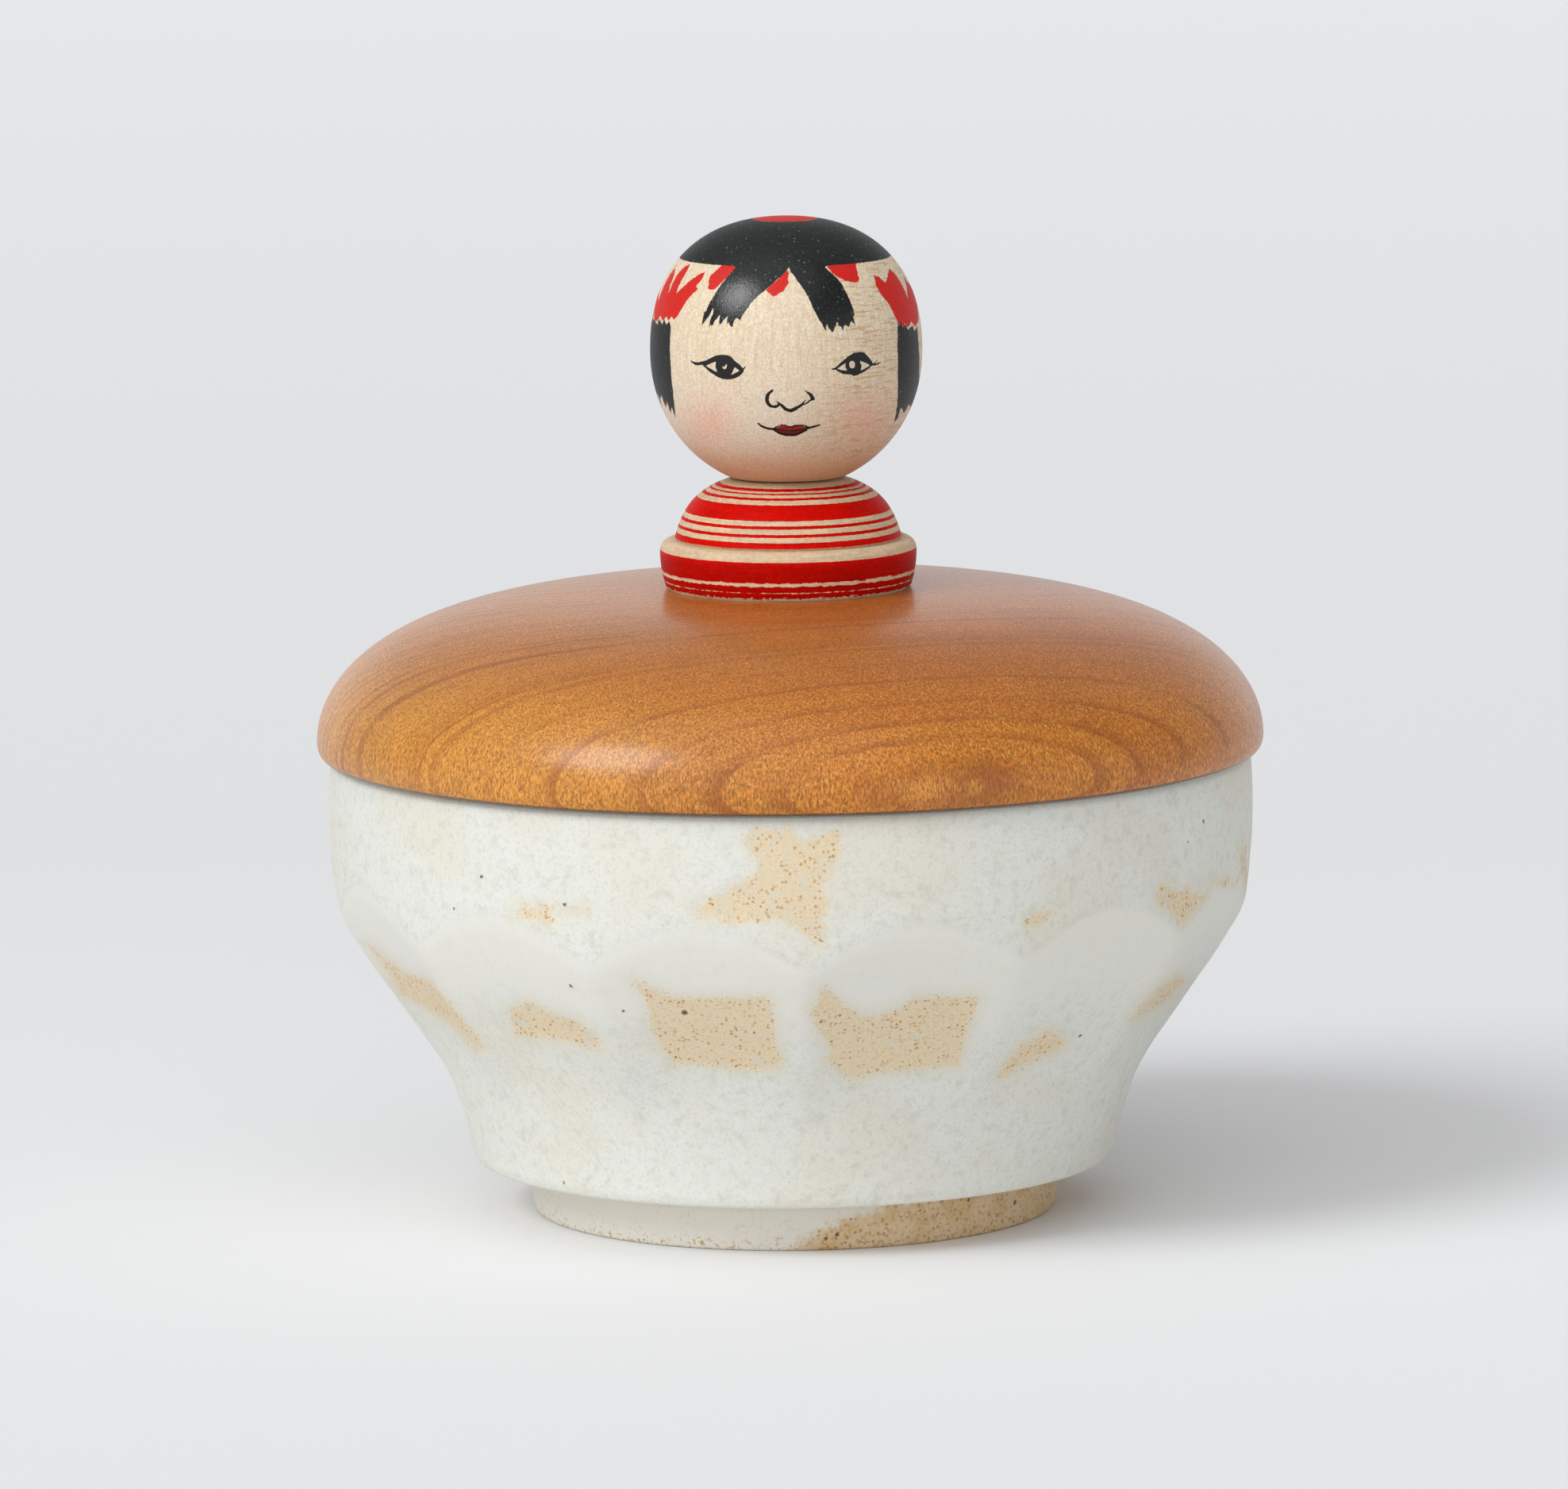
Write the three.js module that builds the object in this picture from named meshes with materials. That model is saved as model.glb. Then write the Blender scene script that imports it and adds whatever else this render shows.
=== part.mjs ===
// A lidded stoneware bowl with a turned cherry lid. A small turned wooden doll is the lid's knob.
// Millimetres, +Z up. The origin is the centre of the foot ring's underside, and the doll looks along -Y.
// Angles round the bowl are taken from the doll's side, -Y, and grow towards +X.
import * as THREE from 'three';

// Bowl: one fired piece with a trimmed foot ring, a flared skirt, cut facets and a round upper band
const bowlHeight = 58.8;
const bandRadius = 58.65;
const bandBellyDrop = 7.3;
const rimDraw = 0.35;
const rimWall = 4.0;
const rimEdgeRound = 0.8;
const skirtRadius = 40.7;
const skirtHeight = 6.7;
const skirtFlare = 0.17;
const skirtCurve = 0.0105;
const skirtCurveRise = 12;
const facetCount = 13;
const facetFirstAngle = THREE.MathUtils.degToRad(-12.2);
const facetFootHeight = 19;
const facetFootApothem = 43.3;
const facetSlope = 0.667;
const facetTopHeight = 44.5;
const facetTopApothem = 58.3;
const facetTopSlope = 0.4;
const facetTopBlend = 2.0;
const facetEdgeBlend = 0.6;
const skirtBlend = 1.2;
const bowlWall = 4.6;
const bowlFloorHeight = 10.5;
const bowlFloorRise = 15;
const bowlFloorRoundness = 2.2;
const footRadius = 33.2;
const footTopRadius = 34.0;
const footHeight = 6.3;
const footRingWidth = 5.2;
const footRecess = 3.6;
const footEdge = 0.5;

// Lid: a turned dome that overhangs the rim, with a locating spigot and a hollow underside
const lidRadius = 60.03;
const lidEdgeHeight = 1.5;
const lidEdgeRound = 0.8;
const lidDomeRise = 19.13;
const lidDomeSide = 3.572;
const spigotPlay = 0.9;
const spigotDepth = 4.5;
const spigotWidth = 5.0;
const spigotChamfer = 0.6;
const crownThickness = 9.5;
const hollowSide = 3.0;

// Doll body: a skirt ring with a ledge, and striped shoulders that end in a collar
const dollBaseRadius = 15.2;
const dollBaseChamfer = 0.4;
const dollFlangeRadius = 16.25;
const dollFlangeHeight = 4.55;
const flangeBulgeHeight = 2.6;
const ledgeRise = 1.7;
const ledgeStep = 0.25;
const shoulderRadius = 14.35;
const shoulderHeight = 7.7;
const shoulderSide = [0.95, 0.47];
const shoulderTurn = [2.35, 0.82];
const collarRadius = 7.0;
const seatMargin = 1.2;

// Doll head: a slightly flattened ball on a snap-in neck plug
const headRadius = 17.2;
const headLowerHeight = 17.5;
const headLowerCurve = 2.05;
const headUpperHeight = 16.9;
const headUpperCurve = 2.3;
const headSeatRadius = 7.4;
const neckRadius = 4.9;
const neckBulgeRadius = 5.9;
const neckLength = 6.1;
const neckBulgeHeight = 2.2;

// Peg that holds the doll on the lid
const pegRadius = 3.0;
const pegInLid = 6.5;
const pegInDoll = 4.0;
const pegChamfer = 0.5;

// Clearances
const pegClearance = 0.3;
const neckClearance = 0.3;
const headGap = 0.25;

// Segments round each piece
const facetSegments = 6;
const lidSegments = 60;
const dollSegments = 36;
const pegSegments = 20;

// The smaller of two lengths with the corner between them rounded over a blend length
function roundedMin(a, b, blend) {
  const share = THREE.MathUtils.clamp(0.5 + (b - a) / (2 * blend), 0, 1);
  return THREE.MathUtils.lerp(b, a, share) - blend * share * (1 - share) / 2;
}

function roundedMax(a, b, blend) {
  return -roundedMin(-a, -b, blend);
}

// Points of a formula curve, at even steps of its parameter
function curvePoints(steps, from, to, radiusAt, heightAt) {
  const points = [];
  for (let i = 0; i <= steps; i += 1) {
    const t = THREE.MathUtils.lerp(from, to, i / steps);
    points.push(new THREE.Vector2(radiusAt(t), heightAt(t)));
  }
  return points;
}

// Points of a small round edge about its own centre, by angle from the outward direction
function edgePoints(centreRadius, centreHeight, round, from, to) {
  const radiusAt = (t) => centreRadius + round * Math.cos(t);
  const heightAt = (t) => centreHeight + round * Math.sin(t);
  return curvePoints(2, from, to, radiusAt, heightAt);
}

// A profile of [radius, height] points turned about the vertical axis
function turned(profile, segments) {
  const points = profile.map((p) => (p.isVector2 ? p : new THREE.Vector2(p[0], p[1])));
  const geometry = new THREE.LatheGeometry(points, segments);
  geometry.rotateX(Math.PI / 2);
  return geometry;
}

function piece(name, geometry, colour, roughness) {
  const material = new THREE.MeshStandardMaterial({ color: colour, roughness, metalness: 0 });
  const mesh = new THREE.Mesh(geometry, material);
  mesh.name = name;
  return mesh;
}

// Bowl outline: the round band above, the skirt that curves and then runs straight, and the facets between
const facetHalfAngle = Math.PI / facetCount;
const bandBellyHeight = bowlHeight - bandBellyDrop;
const bandCurve = rimDraw / bandBellyDrop ** 2;
const rimRadius = bandRadius - rimDraw;
const mouthRadius = rimRadius - rimWall;

function bandRadiusAt(height) {
  return bandRadius - bandCurve * (height - bandBellyHeight) ** 2;
}

function skirtRadiusAt(height) {
  const rise = height - skirtHeight;
  const curved = Math.min(rise, skirtCurveRise);
  const endSlope = skirtFlare + 2 * skirtCurve * curved;
  return skirtRadius + skirtFlare * curved + skirtCurve * curved ** 2 + endSlope * (rise - curved);
}

function facetApothemAt(height) {
  const cut = facetFootApothem + facetSlope * (height - facetFootHeight);
  const top = facetTopApothem + facetTopSlope * (height - facetTopHeight);
  return roundedMin(cut, top, facetTopBlend);
}

function wallRadiusAt(height, angle) {
  const turn = (angle - facetFirstAngle) / (2 * facetHalfAngle);
  const offCentre = (turn - Math.round(turn)) * 2 * facetHalfAngle;
  const facet = facetApothemAt(height) / Math.cos(offCentre);
  const skirted = roundedMax(skirtRadiusAt(height), facet, skirtBlend);
  return roundedMin(bandRadiusAt(height), skirted, facetEdgeBlend);
}

// The inner wall follows the facets' centres, one wall thickness inside them, down to a round floor
function innerRadiusAt(height) {
  const share = (height - bowlFloorHeight) / (bowlHeight - bowlFloorHeight);
  const wall = THREE.MathUtils.lerp(bowlWall, rimWall, share);
  const straight = wallRadiusAt(height, facetFirstAngle) - wall;
  const depth = Math.max(0, 1 - (height - bowlFloorHeight) / bowlFloorRise);
  return straight * (1 - depth ** bowlFloorRoundness) ** (1 / bowlFloorRoundness);
}

function bowlGeometry() {
  const footInner = footRadius - footRingWidth;
  const under = [
    [0, footRecess],
    [footInner - footEdge, footRecess],
    [footInner, footEdge],
    [footInner + footEdge, 0],
    [footRadius - footEdge, 0],
    [footRadius, footEdge],
    [footTopRadius, footHeight],
  ];
  const outerLow = skirtHeight + footEdge;
  const outerTop = bowlHeight - rimEdgeRound;
  const outer = curvePoints(16, outerLow, outerTop, (z) => wallRadiusAt(z, 0), (z) => z);
  const square = Math.PI / 2;
  const rimOutside = edgePoints(rimRadius - rimEdgeRound, outerTop, rimEdgeRound, 0, square).slice(1);
  const rimInside = edgePoints(mouthRadius + rimEdgeRound, outerTop, rimEdgeRound, square, 2 * square);
  rimInside.pop();
  const innerStraight = curvePoints(4, outerTop, bowlFloorHeight + bowlFloorRise, innerRadiusAt, (z) => z);
  const innerFloor = curvePoints(
    5,
    square,
    0,
    (t) => innerRadiusAt(bowlFloorHeight + bowlFloorRise * (1 - Math.cos(t))),
    (t) => bowlFloorHeight + bowlFloorRise * (1 - Math.cos(t)),
  ).slice(1);
  const skirtEdge = [[skirtRadius - footEdge, skirtHeight]];
  const inner = [...innerStraight, ...innerFloor];
  const profile = [...under, ...skirtEdge, ...outer, ...rimOutside, ...rimInside, ...inner];
  const segments = facetCount * facetSegments;
  const geometry = turned(profile, segments);

  // The turned outer wall is cut to its facets, point by point
  const position = geometry.attributes.position;
  const firstOuter = under.length + skirtEdge.length;
  for (let column = 0; column <= segments; column += 1) {
    const angle = (column / segments) * 2 * Math.PI;
    for (let row = firstOuter; row < firstOuter + outer.length; row += 1) {
      const index = column * profile.length + row;
      const height = position.getZ(index);
      const radius = wallRadiusAt(height, angle);
      position.setXY(index, radius * Math.sin(angle), -radius * Math.cos(angle));
    }
  }
  return geometry;
}

// Lid heights: its seat lies on the rim, and the doll stands on its flat crown
const lidEdgeZ = bowlHeight + lidEdgeHeight;
const crownSeatRadius = dollFlangeRadius + seatMargin;
const crownAngle = Math.acos((crownSeatRadius / lidRadius) ** (lidDomeSide / 2));
const crownZ = lidEdgeZ + lidDomeRise * Math.sin(crownAngle);
const pegHoleRadius = pegRadius + pegClearance;
const spigotRadius = mouthRadius - spigotPlay;
const spigotBottomZ = bowlHeight - spigotDepth;
const hollowRadius = spigotRadius - spigotWidth;

function lidGeometry() {
  const hollowRise = crownZ - crownThickness - spigotBottomZ;
  const hollow = curvePoints(
    7,
    Math.PI / 2,
    0,
    (t) => hollowRadius * Math.max(0, Math.cos(t)) ** (2 / hollowSide),
    (t) => spigotBottomZ + spigotChamfer + (hollowRise - spigotChamfer) * Math.sin(t),
  );
  hollow[0].x = 0;
  const spigot = [
    [hollowRadius + spigotChamfer, spigotBottomZ],
    [spigotRadius - spigotChamfer, spigotBottomZ],
    [spigotRadius, spigotBottomZ + spigotChamfer],
    [spigotRadius, bowlHeight],
  ];
  const edge = curvePoints(
    3,
    0,
    Math.PI / 2,
    (t) => lidRadius - lidEdgeRound * (1 - Math.sin(t)),
    (t) => lidEdgeZ - lidEdgeHeight * Math.cos(t),
  ).slice(0, -1);
  const dome = curvePoints(
    12,
    0,
    crownAngle,
    (t) => lidRadius * Math.cos(t) ** (2 / lidDomeSide),
    (t) => lidEdgeZ + lidDomeRise * Math.sin(t),
  );
  const pegHole = [
    [pegHoleRadius, crownZ],
    [pegHoleRadius, crownZ - pegInLid - pegClearance],
    [0, crownZ - pegInLid - pegClearance],
  ];
  return turned([...hollow, ...spigot, ...edge, ...dome, ...pegHole], lidSegments);
}

// Peg: half in the lid's crown and half in the doll's base
function pegGeometry() {
  const bottom = crownZ - pegInLid;
  const top = crownZ + pegInDoll;
  const profile = [
    [0, bottom],
    [pegRadius - pegChamfer, bottom],
    [pegRadius, bottom + pegChamfer],
    [pegRadius, top - pegChamfer],
    [pegRadius - pegChamfer, top],
    [0, top],
  ];
  return turned(profile, pegSegments);
}

// Doll body, from its base on the lid's crown to the collar under the head
const ledgeZ = crownZ + dollFlangeHeight + ledgeRise;
const collarZ = ledgeZ + shoulderHeight;
const socketMouthRadius = neckRadius + neckClearance;
const socketRadius = neckBulgeRadius + neckClearance;
const neckBottomZ = collarZ + headGap - neckLength;
const socketFloorZ = neckBottomZ - neckClearance;
const bulgeTopZ = neckBottomZ + neckBulgeHeight;

function dollBodyGeometry() {
  const flangeZ = crownZ + dollFlangeHeight;
  const pegHoleTop = crownZ + pegInDoll + pegClearance;
  const base = [
    [0, pegHoleTop],
    [pegHoleRadius, pegHoleTop],
    [pegHoleRadius, crownZ],
    [dollBaseRadius, crownZ],
  ];
  const flange = new THREE.QuadraticBezierCurve(
    new THREE.Vector2(dollBaseRadius + dollBaseChamfer, crownZ + dollBaseChamfer),
    new THREE.Vector2(dollFlangeRadius, crownZ + flangeBulgeHeight),
    new THREE.Vector2(dollFlangeRadius, flangeZ),
  );
  const ledge = new THREE.QuadraticBezierCurve(
    new THREE.Vector2(dollFlangeRadius, flangeZ),
    new THREE.Vector2(dollFlangeRadius, ledgeZ),
    new THREE.Vector2(shoulderRadius + ledgeStep, ledgeZ),
  );
  const shoulder = new THREE.CubicBezierCurve(
    new THREE.Vector2(shoulderRadius, ledgeZ + ledgeStep),
    new THREE.Vector2(shoulderRadius - shoulderSide[0], ledgeZ + shoulderHeight * shoulderSide[1]),
    new THREE.Vector2(shoulderRadius - shoulderTurn[0], ledgeZ + shoulderHeight * shoulderTurn[1]),
    new THREE.Vector2(collarRadius, collarZ),
  );
  const socket = [
    [socketMouthRadius, collarZ],
    [socketMouthRadius, bulgeTopZ + neckClearance],
    [socketRadius, bulgeTopZ + neckClearance - (socketRadius - socketMouthRadius)],
    [socketRadius, socketFloorZ],
    [0, socketFloorZ],
  ];
  const outline = [...flange.getPoints(3), ...ledge.getPoints(4).slice(1), ...shoulder.getPoints(8)];
  return turned([...base, ...outline, ...socket], dollSegments);
}

// Head: two part-ellipses that meet at the widest line, cut flat where the head turns on the collar
function headGeometry() {
  const seatZ = collarZ + headGap;
  const part = (u, curve) => Math.max(0, 1 - u ** curve) ** (1 / curve);
  const seatDrop = part(headSeatRadius / headRadius, headLowerCurve);
  const widestZ = seatZ + headLowerHeight * seatDrop;
  const plug = [
    [0, neckBottomZ],
    [neckBulgeRadius - pegChamfer, neckBottomZ],
    [neckBulgeRadius, neckBottomZ + pegChamfer],
    [neckBulgeRadius, bulgeTopZ - (neckBulgeRadius - neckRadius)],
    [neckRadius, bulgeTopZ],
    [neckRadius, seatZ],
  ];
  const lower = curvePoints(
    8,
    Math.asin(seatDrop),
    0,
    (t) => headRadius * part(Math.sin(t), headLowerCurve),
    (t) => widestZ - headLowerHeight * Math.sin(t),
  );
  const upper = curvePoints(
    10,
    0,
    Math.PI / 2,
    (t) => headRadius * part(Math.sin(t), headUpperCurve),
    (t) => widestZ + headUpperHeight * Math.sin(t),
  ).slice(1);
  return turned([...plug, ...lower, ...upper], dollSegments);
}

const container = new THREE.Group();
container.add(piece('bowl', bowlGeometry(), 0xdfe1dc, 0.55));

const lidAssembly = new THREE.Group();
lidAssembly.add(piece('lid', lidGeometry(), 0xc07a3c, 0.38));
lidAssembly.add(piece('lid_dowel', pegGeometry(), 0xd9b98a, 0.7));
lidAssembly.add(piece('doll_body', dollBodyGeometry(), 0xc4281c, 0.4));
lidAssembly.add(piece('doll_head', headGeometry(), 0xe6cfae, 0.42));
container.add(lidAssembly);

export default container;
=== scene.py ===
# %% [markdown]
# A lidded stoneware bowl, its turned cherry lid, and the small turned doll that serves as the lid's knob.
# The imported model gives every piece's true size and place. This lesson makes the fine surface of each
# piece and its finish: a matte glaze that leaves clay windows bare, an oiled wood, and brush paint under
# wax.

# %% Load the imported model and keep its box
import math

import bpy
import numpy as np
from mathutils import Matrix, Vector


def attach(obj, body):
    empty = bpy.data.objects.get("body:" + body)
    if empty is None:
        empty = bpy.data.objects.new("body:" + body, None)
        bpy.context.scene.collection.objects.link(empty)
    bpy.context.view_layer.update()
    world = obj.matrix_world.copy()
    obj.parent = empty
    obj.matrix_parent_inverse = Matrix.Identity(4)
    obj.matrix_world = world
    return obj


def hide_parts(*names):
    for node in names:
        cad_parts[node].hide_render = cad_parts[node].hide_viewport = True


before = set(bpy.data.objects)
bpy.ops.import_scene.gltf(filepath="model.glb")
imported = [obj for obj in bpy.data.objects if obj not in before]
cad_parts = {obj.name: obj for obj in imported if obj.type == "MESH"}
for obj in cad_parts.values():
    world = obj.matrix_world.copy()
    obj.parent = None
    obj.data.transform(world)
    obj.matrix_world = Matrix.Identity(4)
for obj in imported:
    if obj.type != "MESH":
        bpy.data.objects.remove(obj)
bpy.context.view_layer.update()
bpy.ops.object.select_all(action="DESELECT")

# %% [markdown]
# The photograph was taken with a long lens, about 1.4 m away, looking down by a little over 8 degrees.
# The camera comes first, because the painted marks are placed by where the photograph shows them. It is
# also turned by a little over half a degree about its own axis, as the real one was, so the bowl leans as
# it does there.

# %% Camera
picture_size = (1976, 1876)
sensor_mm = 36
lens_mm = 251.76
camera_place = Vector((-0.0008, -1.378, 0.258))
look_down = math.radians(8.214)
camera_roll = math.radians(-0.6)

camera_data = bpy.data.cameras.new("camera")
camera_data.sensor_width = sensor_mm
camera_data.lens = lens_mm
camera_data.clip_end = 50
camera = bpy.data.objects.new("camera", camera_data)
bpy.context.scene.collection.objects.link(camera)
upright = Matrix.Rotation(math.radians(90) - look_down, 4, "X")
camera.matrix_world = Matrix.Translation(camera_place) @ upright @ Matrix.Rotation(camera_roll, 4, "Z")
bpy.context.scene.camera = camera
bpy.context.scene.view_settings.view_transform = "Standard"
pixels_focal = lens_mm / sensor_mm * picture_size[0]
print("focal length in the photograph's pixels", round(pixels_focal))

# %% [markdown]
# The room is a pale studio: a large round floor, a pale world, and a soft box at the left and in front.
# Its place was found from the sheen on the lid and from the shadow, which falls to the right and back.
# The world is brighter near the floor than overhead, as in a room with white walls and a dark ceiling,
# and it is dim beside the sweep of paper behind. A weak wide lamp in front lifts the side that the camera
# sees.

# %% Colours
def linear(code):
    """An sRGB hex colour as the linear colour that shaders work with."""
    parts = [int(code[i : i + 2], 16) / 255 for i in (1, 3, 5)]
    return tuple(p / 12.92 if p <= 0.04045 else ((p + 0.055) / 1.055) ** 2.4 for p in parts) + (1,)


print("mid grey in linear light", round(linear("#808080")[0], 3))

# %% Shader nodes
modes = {
    "Math": "operation", "VectorMath": "operation", "MapRange": "interpolation_type", "Mix": "data_type",
    "Attribute": "attribute_name", "TexNoise": "noise_dimensions",
}


def fill(tree, node, values):
    """Gives inputs a number, a colour or a link. A key is a name or a place among the inputs in use."""
    in_use = [socket for socket in node.inputs if socket.enabled]
    for key, value in values.items():
        socket = in_use[key] if isinstance(key, int) else next(s for s in in_use if s.name == key)
        if isinstance(value, bpy.types.NodeSocket):
            tree.links.new(value, socket)
        else:
            socket.default_value = linear(value) if isinstance(value, str) else value


def add(tree, kind, *inputs, **named):
    """Adds a node, such as "Math ADD", fills its inputs in order or by name, and gives its first output."""
    kind, _, mode = kind.partition(" ")
    node = tree.nodes.new("ShaderNode" + kind)
    if mode:
        setattr(node, modes[kind], mode)
    fill(tree, node, {**dict(enumerate(inputs)), **named})
    return next(output for output in node.outputs if output.enabled)


def set_stops(ramp, stops):
    """Fills a colour ramp from (position, colour) pairs."""
    marks = ramp.node.color_ramp.elements
    while len(marks) < len(stops):
        marks.new(1.0)
    for mark, (position, colour) in zip(marks, stops):
        mark.position = position
        mark.color = linear(colour) if isinstance(colour, str) else colour


# %% Floor
floor_radius = 9.0
# The paper's colour changes with depth. It is a little darker in front and darker still in a band 0.3 to 0.8
# m behind the bowl, which is painted shade.
paper_tones_with_painted_shade = [(-0.5, "#eaebed"), (0.0, "#ecedef"), (0.3, "#e5e6e8"), (0.8, "#e6e7ea"), (2.0, "#ecedf0")]
bpy.ops.mesh.primitive_circle_add(vertices=96, radius=floor_radius, fill_type="NGON", location=(0, 0, 0))
studio_floor = bpy.context.object
studio_floor.name = "studio_floor"
floor_paper = bpy.data.materials.new("studio_paper")
floor_paper.use_nodes = True
paper_tree = floor_paper.node_tree
paper = paper_tree.nodes["Principled BSDF"]
floor_spot = add(paper_tree, "TexCoord").node.outputs["Object"]
depth = add(paper_tree, "SeparateXYZ", floor_spot).node.outputs["Y"]
nearest_y, farthest_y = paper_tones_with_painted_shade[0][0], paper_tones_with_painted_shade[-1][0]
share = add(paper_tree, "MapRange", depth, nearest_y, farthest_y)
tone = add(paper_tree, "ValToRGB", share)
set_stops(tone, [((y - nearest_y) / (farthest_y - nearest_y), code) for y, code in paper_tones_with_painted_shade])
fill(paper_tree, paper, {"Base Color": tone, "Roughness": 0.9, "Specular IOR Level": 0.1})
studio_floor.data.materials.append(floor_paper)
print("floor radius in metres", floor_radius)

# %% World
world = bpy.data.worlds.new("pale_studio")
bpy.context.scene.world = world
world.use_nodes = True
sky = world.node_tree
rise_tones = [(0.0, 0.97), (0.18, 0.94), (0.34, 0.70), (0.48, 0.45), (0.75, 0.42), (1.0, 0.52)]
side_share = 0.35
way = add(sky, "TexCoord")
parts = add(sky, "SeparateXYZ", way).node.outputs
tones = add(sky, "ValToRGB", parts["Z"])
set_stops(tones, [(height, (tone, tone, tone, 1)) for height, tone in rise_tones])
beside = add(sky, "Math ABSOLUTE", parts["X"])
beside = add(sky, "MapRange", beside, 0.5, 0.85)
behind = add(sky, "MapRange", parts["Y"], -0.15, 0.25)
unlit = add(sky, "Math MULTIPLY", beside, behind)
sky_light = add(sky, "MapRange", unlit, 0.0, 1.0, 1.0, side_share)
even_light = add(sky, "Background", tones, sky_light)
camera_sees = add(sky, "LightPath")
room_grey = add(sky, "Background", linear("#e0e2e4"), 1.0)
seen = add(sky, "MixShader", camera_sees, even_light, room_grey)
fill(sky, sky.nodes["World Output"], {"Surface": seen})
print("world tones", len(rise_tones))

# %% Lamps
lamp_distance = 2


def far_lamp(name, azimuth, elevation, spread, strength):
    """A far lamp as wide as a soft box, so the whole floor gets the same light. Azimuth 0 is in front."""
    data = bpy.data.lights.new(name, "SUN")
    data.angle = math.radians(spread)
    data.energy = strength
    lamp = bpy.data.objects.new(name, data)
    bpy.context.scene.collection.objects.link(lamp)
    side, rise = math.radians(azimuth), math.radians(elevation)
    way = Vector((math.sin(side) * math.cos(rise), -math.cos(side) * math.cos(rise), math.sin(rise)))
    lamp.location = way * lamp_distance
    lamp.rotation_euler = way.to_track_quat("Z", "Y").to_euler()
    print(name, "towards", tuple(round(v, 2) for v in way))


far_lamp("soft_box_left", azimuth=-52, elevation=40, spread=26, strength=1.36)
far_lamp("wide_fill_front", azimuth=-24, elevation=50, spread=80, strength=0.81)

# %% [markdown]
# All five pieces are turned shapes, made on a wheel or a lathe. The way to make one is the turner's own:
# draw half the outline from the axis round to the axis again, and spin it. Lengths are in millimetres
# here, as they are on a drawing, and become metres when a point is placed.

# %% Millimetres and profiles
MM = 0.001
full_turn = 2 * math.pi


def along(steps, first, last, radius_at, height_at):
    """Profile points of a formula curve, at even steps of its parameter."""
    return [(radius_at(t), height_at(t)) for t in np.linspace(first, last, steps + 1)]


def arc(radius, height, size, first, last, steps=5):
    """Profile points of a round edge, by angle in degrees from the outward direction."""
    turns = np.radians(np.linspace(first, last, steps + 1))
    return [(radius + size * math.cos(t), height + size * math.sin(t)) for t in turns]


print("a quarter round of 1 mm", [tuple(round(float(v), 2) for v in p) for p in arc(10, 0, 1, 0, 90, 2)])

# %% Spinning a profile
merge_mm = 0.0005
smooth_below = math.radians(40)


def spun(name, profile, columns):
    """Draws a profile behind the axis and spins it once round with the Screw modifier."""
    bpy.ops.object.select_all(action="DESELECT")
    bpy.ops.mesh.primitive_plane_add(size=MM, location=(0, 0, 0))
    piece = bpy.context.object
    piece.name = name
    piece.data.name = name
    bpy.ops.object.mode_set(mode="EDIT")
    bpy.ops.mesh.merge(type="CENTER")
    points = [Vector((0, radius * MM, height * MM)) for radius, height in profile]
    bpy.ops.transform.translate(value=points[0])
    for start, end in zip(points[:-1], points[1:]):
        bpy.ops.mesh.extrude_vertices_move(TRANSFORM_OT_translate={"value": end - start})
    bpy.ops.object.mode_set(mode="OBJECT")
    bpy.ops.object.modifier_add(type="SCREW")
    screw = piece.modifiers[-1]
    screw.steps = columns
    screw.render_steps = columns
    bpy.ops.object.modifier_apply(modifier=screw.name)
    bpy.ops.object.mode_set(mode="EDIT")
    bpy.ops.mesh.select_all(action="SELECT")
    bpy.ops.mesh.remove_doubles(threshold=merge_mm * MM)
    bpy.ops.mesh.normals_make_consistent(inside=False)
    bpy.ops.object.mode_set(mode="OBJECT")
    bpy.ops.object.shade_smooth_by_angle(angle=smooth_below)
    print(name, "points", len(piece.data.vertices), "faces", len(piece.data.polygons))
    return piece


def places(piece):
    """The piece's points as an array, in millimetres."""
    found = np.empty(len(piece.data.vertices) * 3)
    piece.data.vertices.foreach_get("co", found)
    return found.reshape(-1, 3) / MM


def around(points):
    """Height of each point, its angle from the front, and its distance from the axis."""
    return points[:, 2], np.arctan2(points[:, 0], -points[:, 1]), np.hypot(points[:, 0], points[:, 1])


def set_places(piece, points):
    piece.data.vertices.foreach_set("co", (points * MM).ravel())
    piece.data.update()


def give_attribute(piece, name, values):
    """Stores one number per point, for the piece's material to read."""
    layer = piece.data.attributes.new(name, "FLOAT", "POINT")
    layer.data.foreach_set("value", np.asarray(values, np.float32))


print("pieces are drawn at a scale of", MM, "metres to the millimetre")

# %% [markdown]
# The bowl is thrown on a wheel, trimmed to a ring foot, and cut into facets with a blade while it is
# firm. Its outline is a round band above, a skirt that flares from the foot, and thirteen flat cuts
# between them. Spinning gives the round forms. The cuts are then taken from the points of the wall by the
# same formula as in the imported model, because a boolean with thirteen planes would leave hard edges that
# no glaze has.

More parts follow.
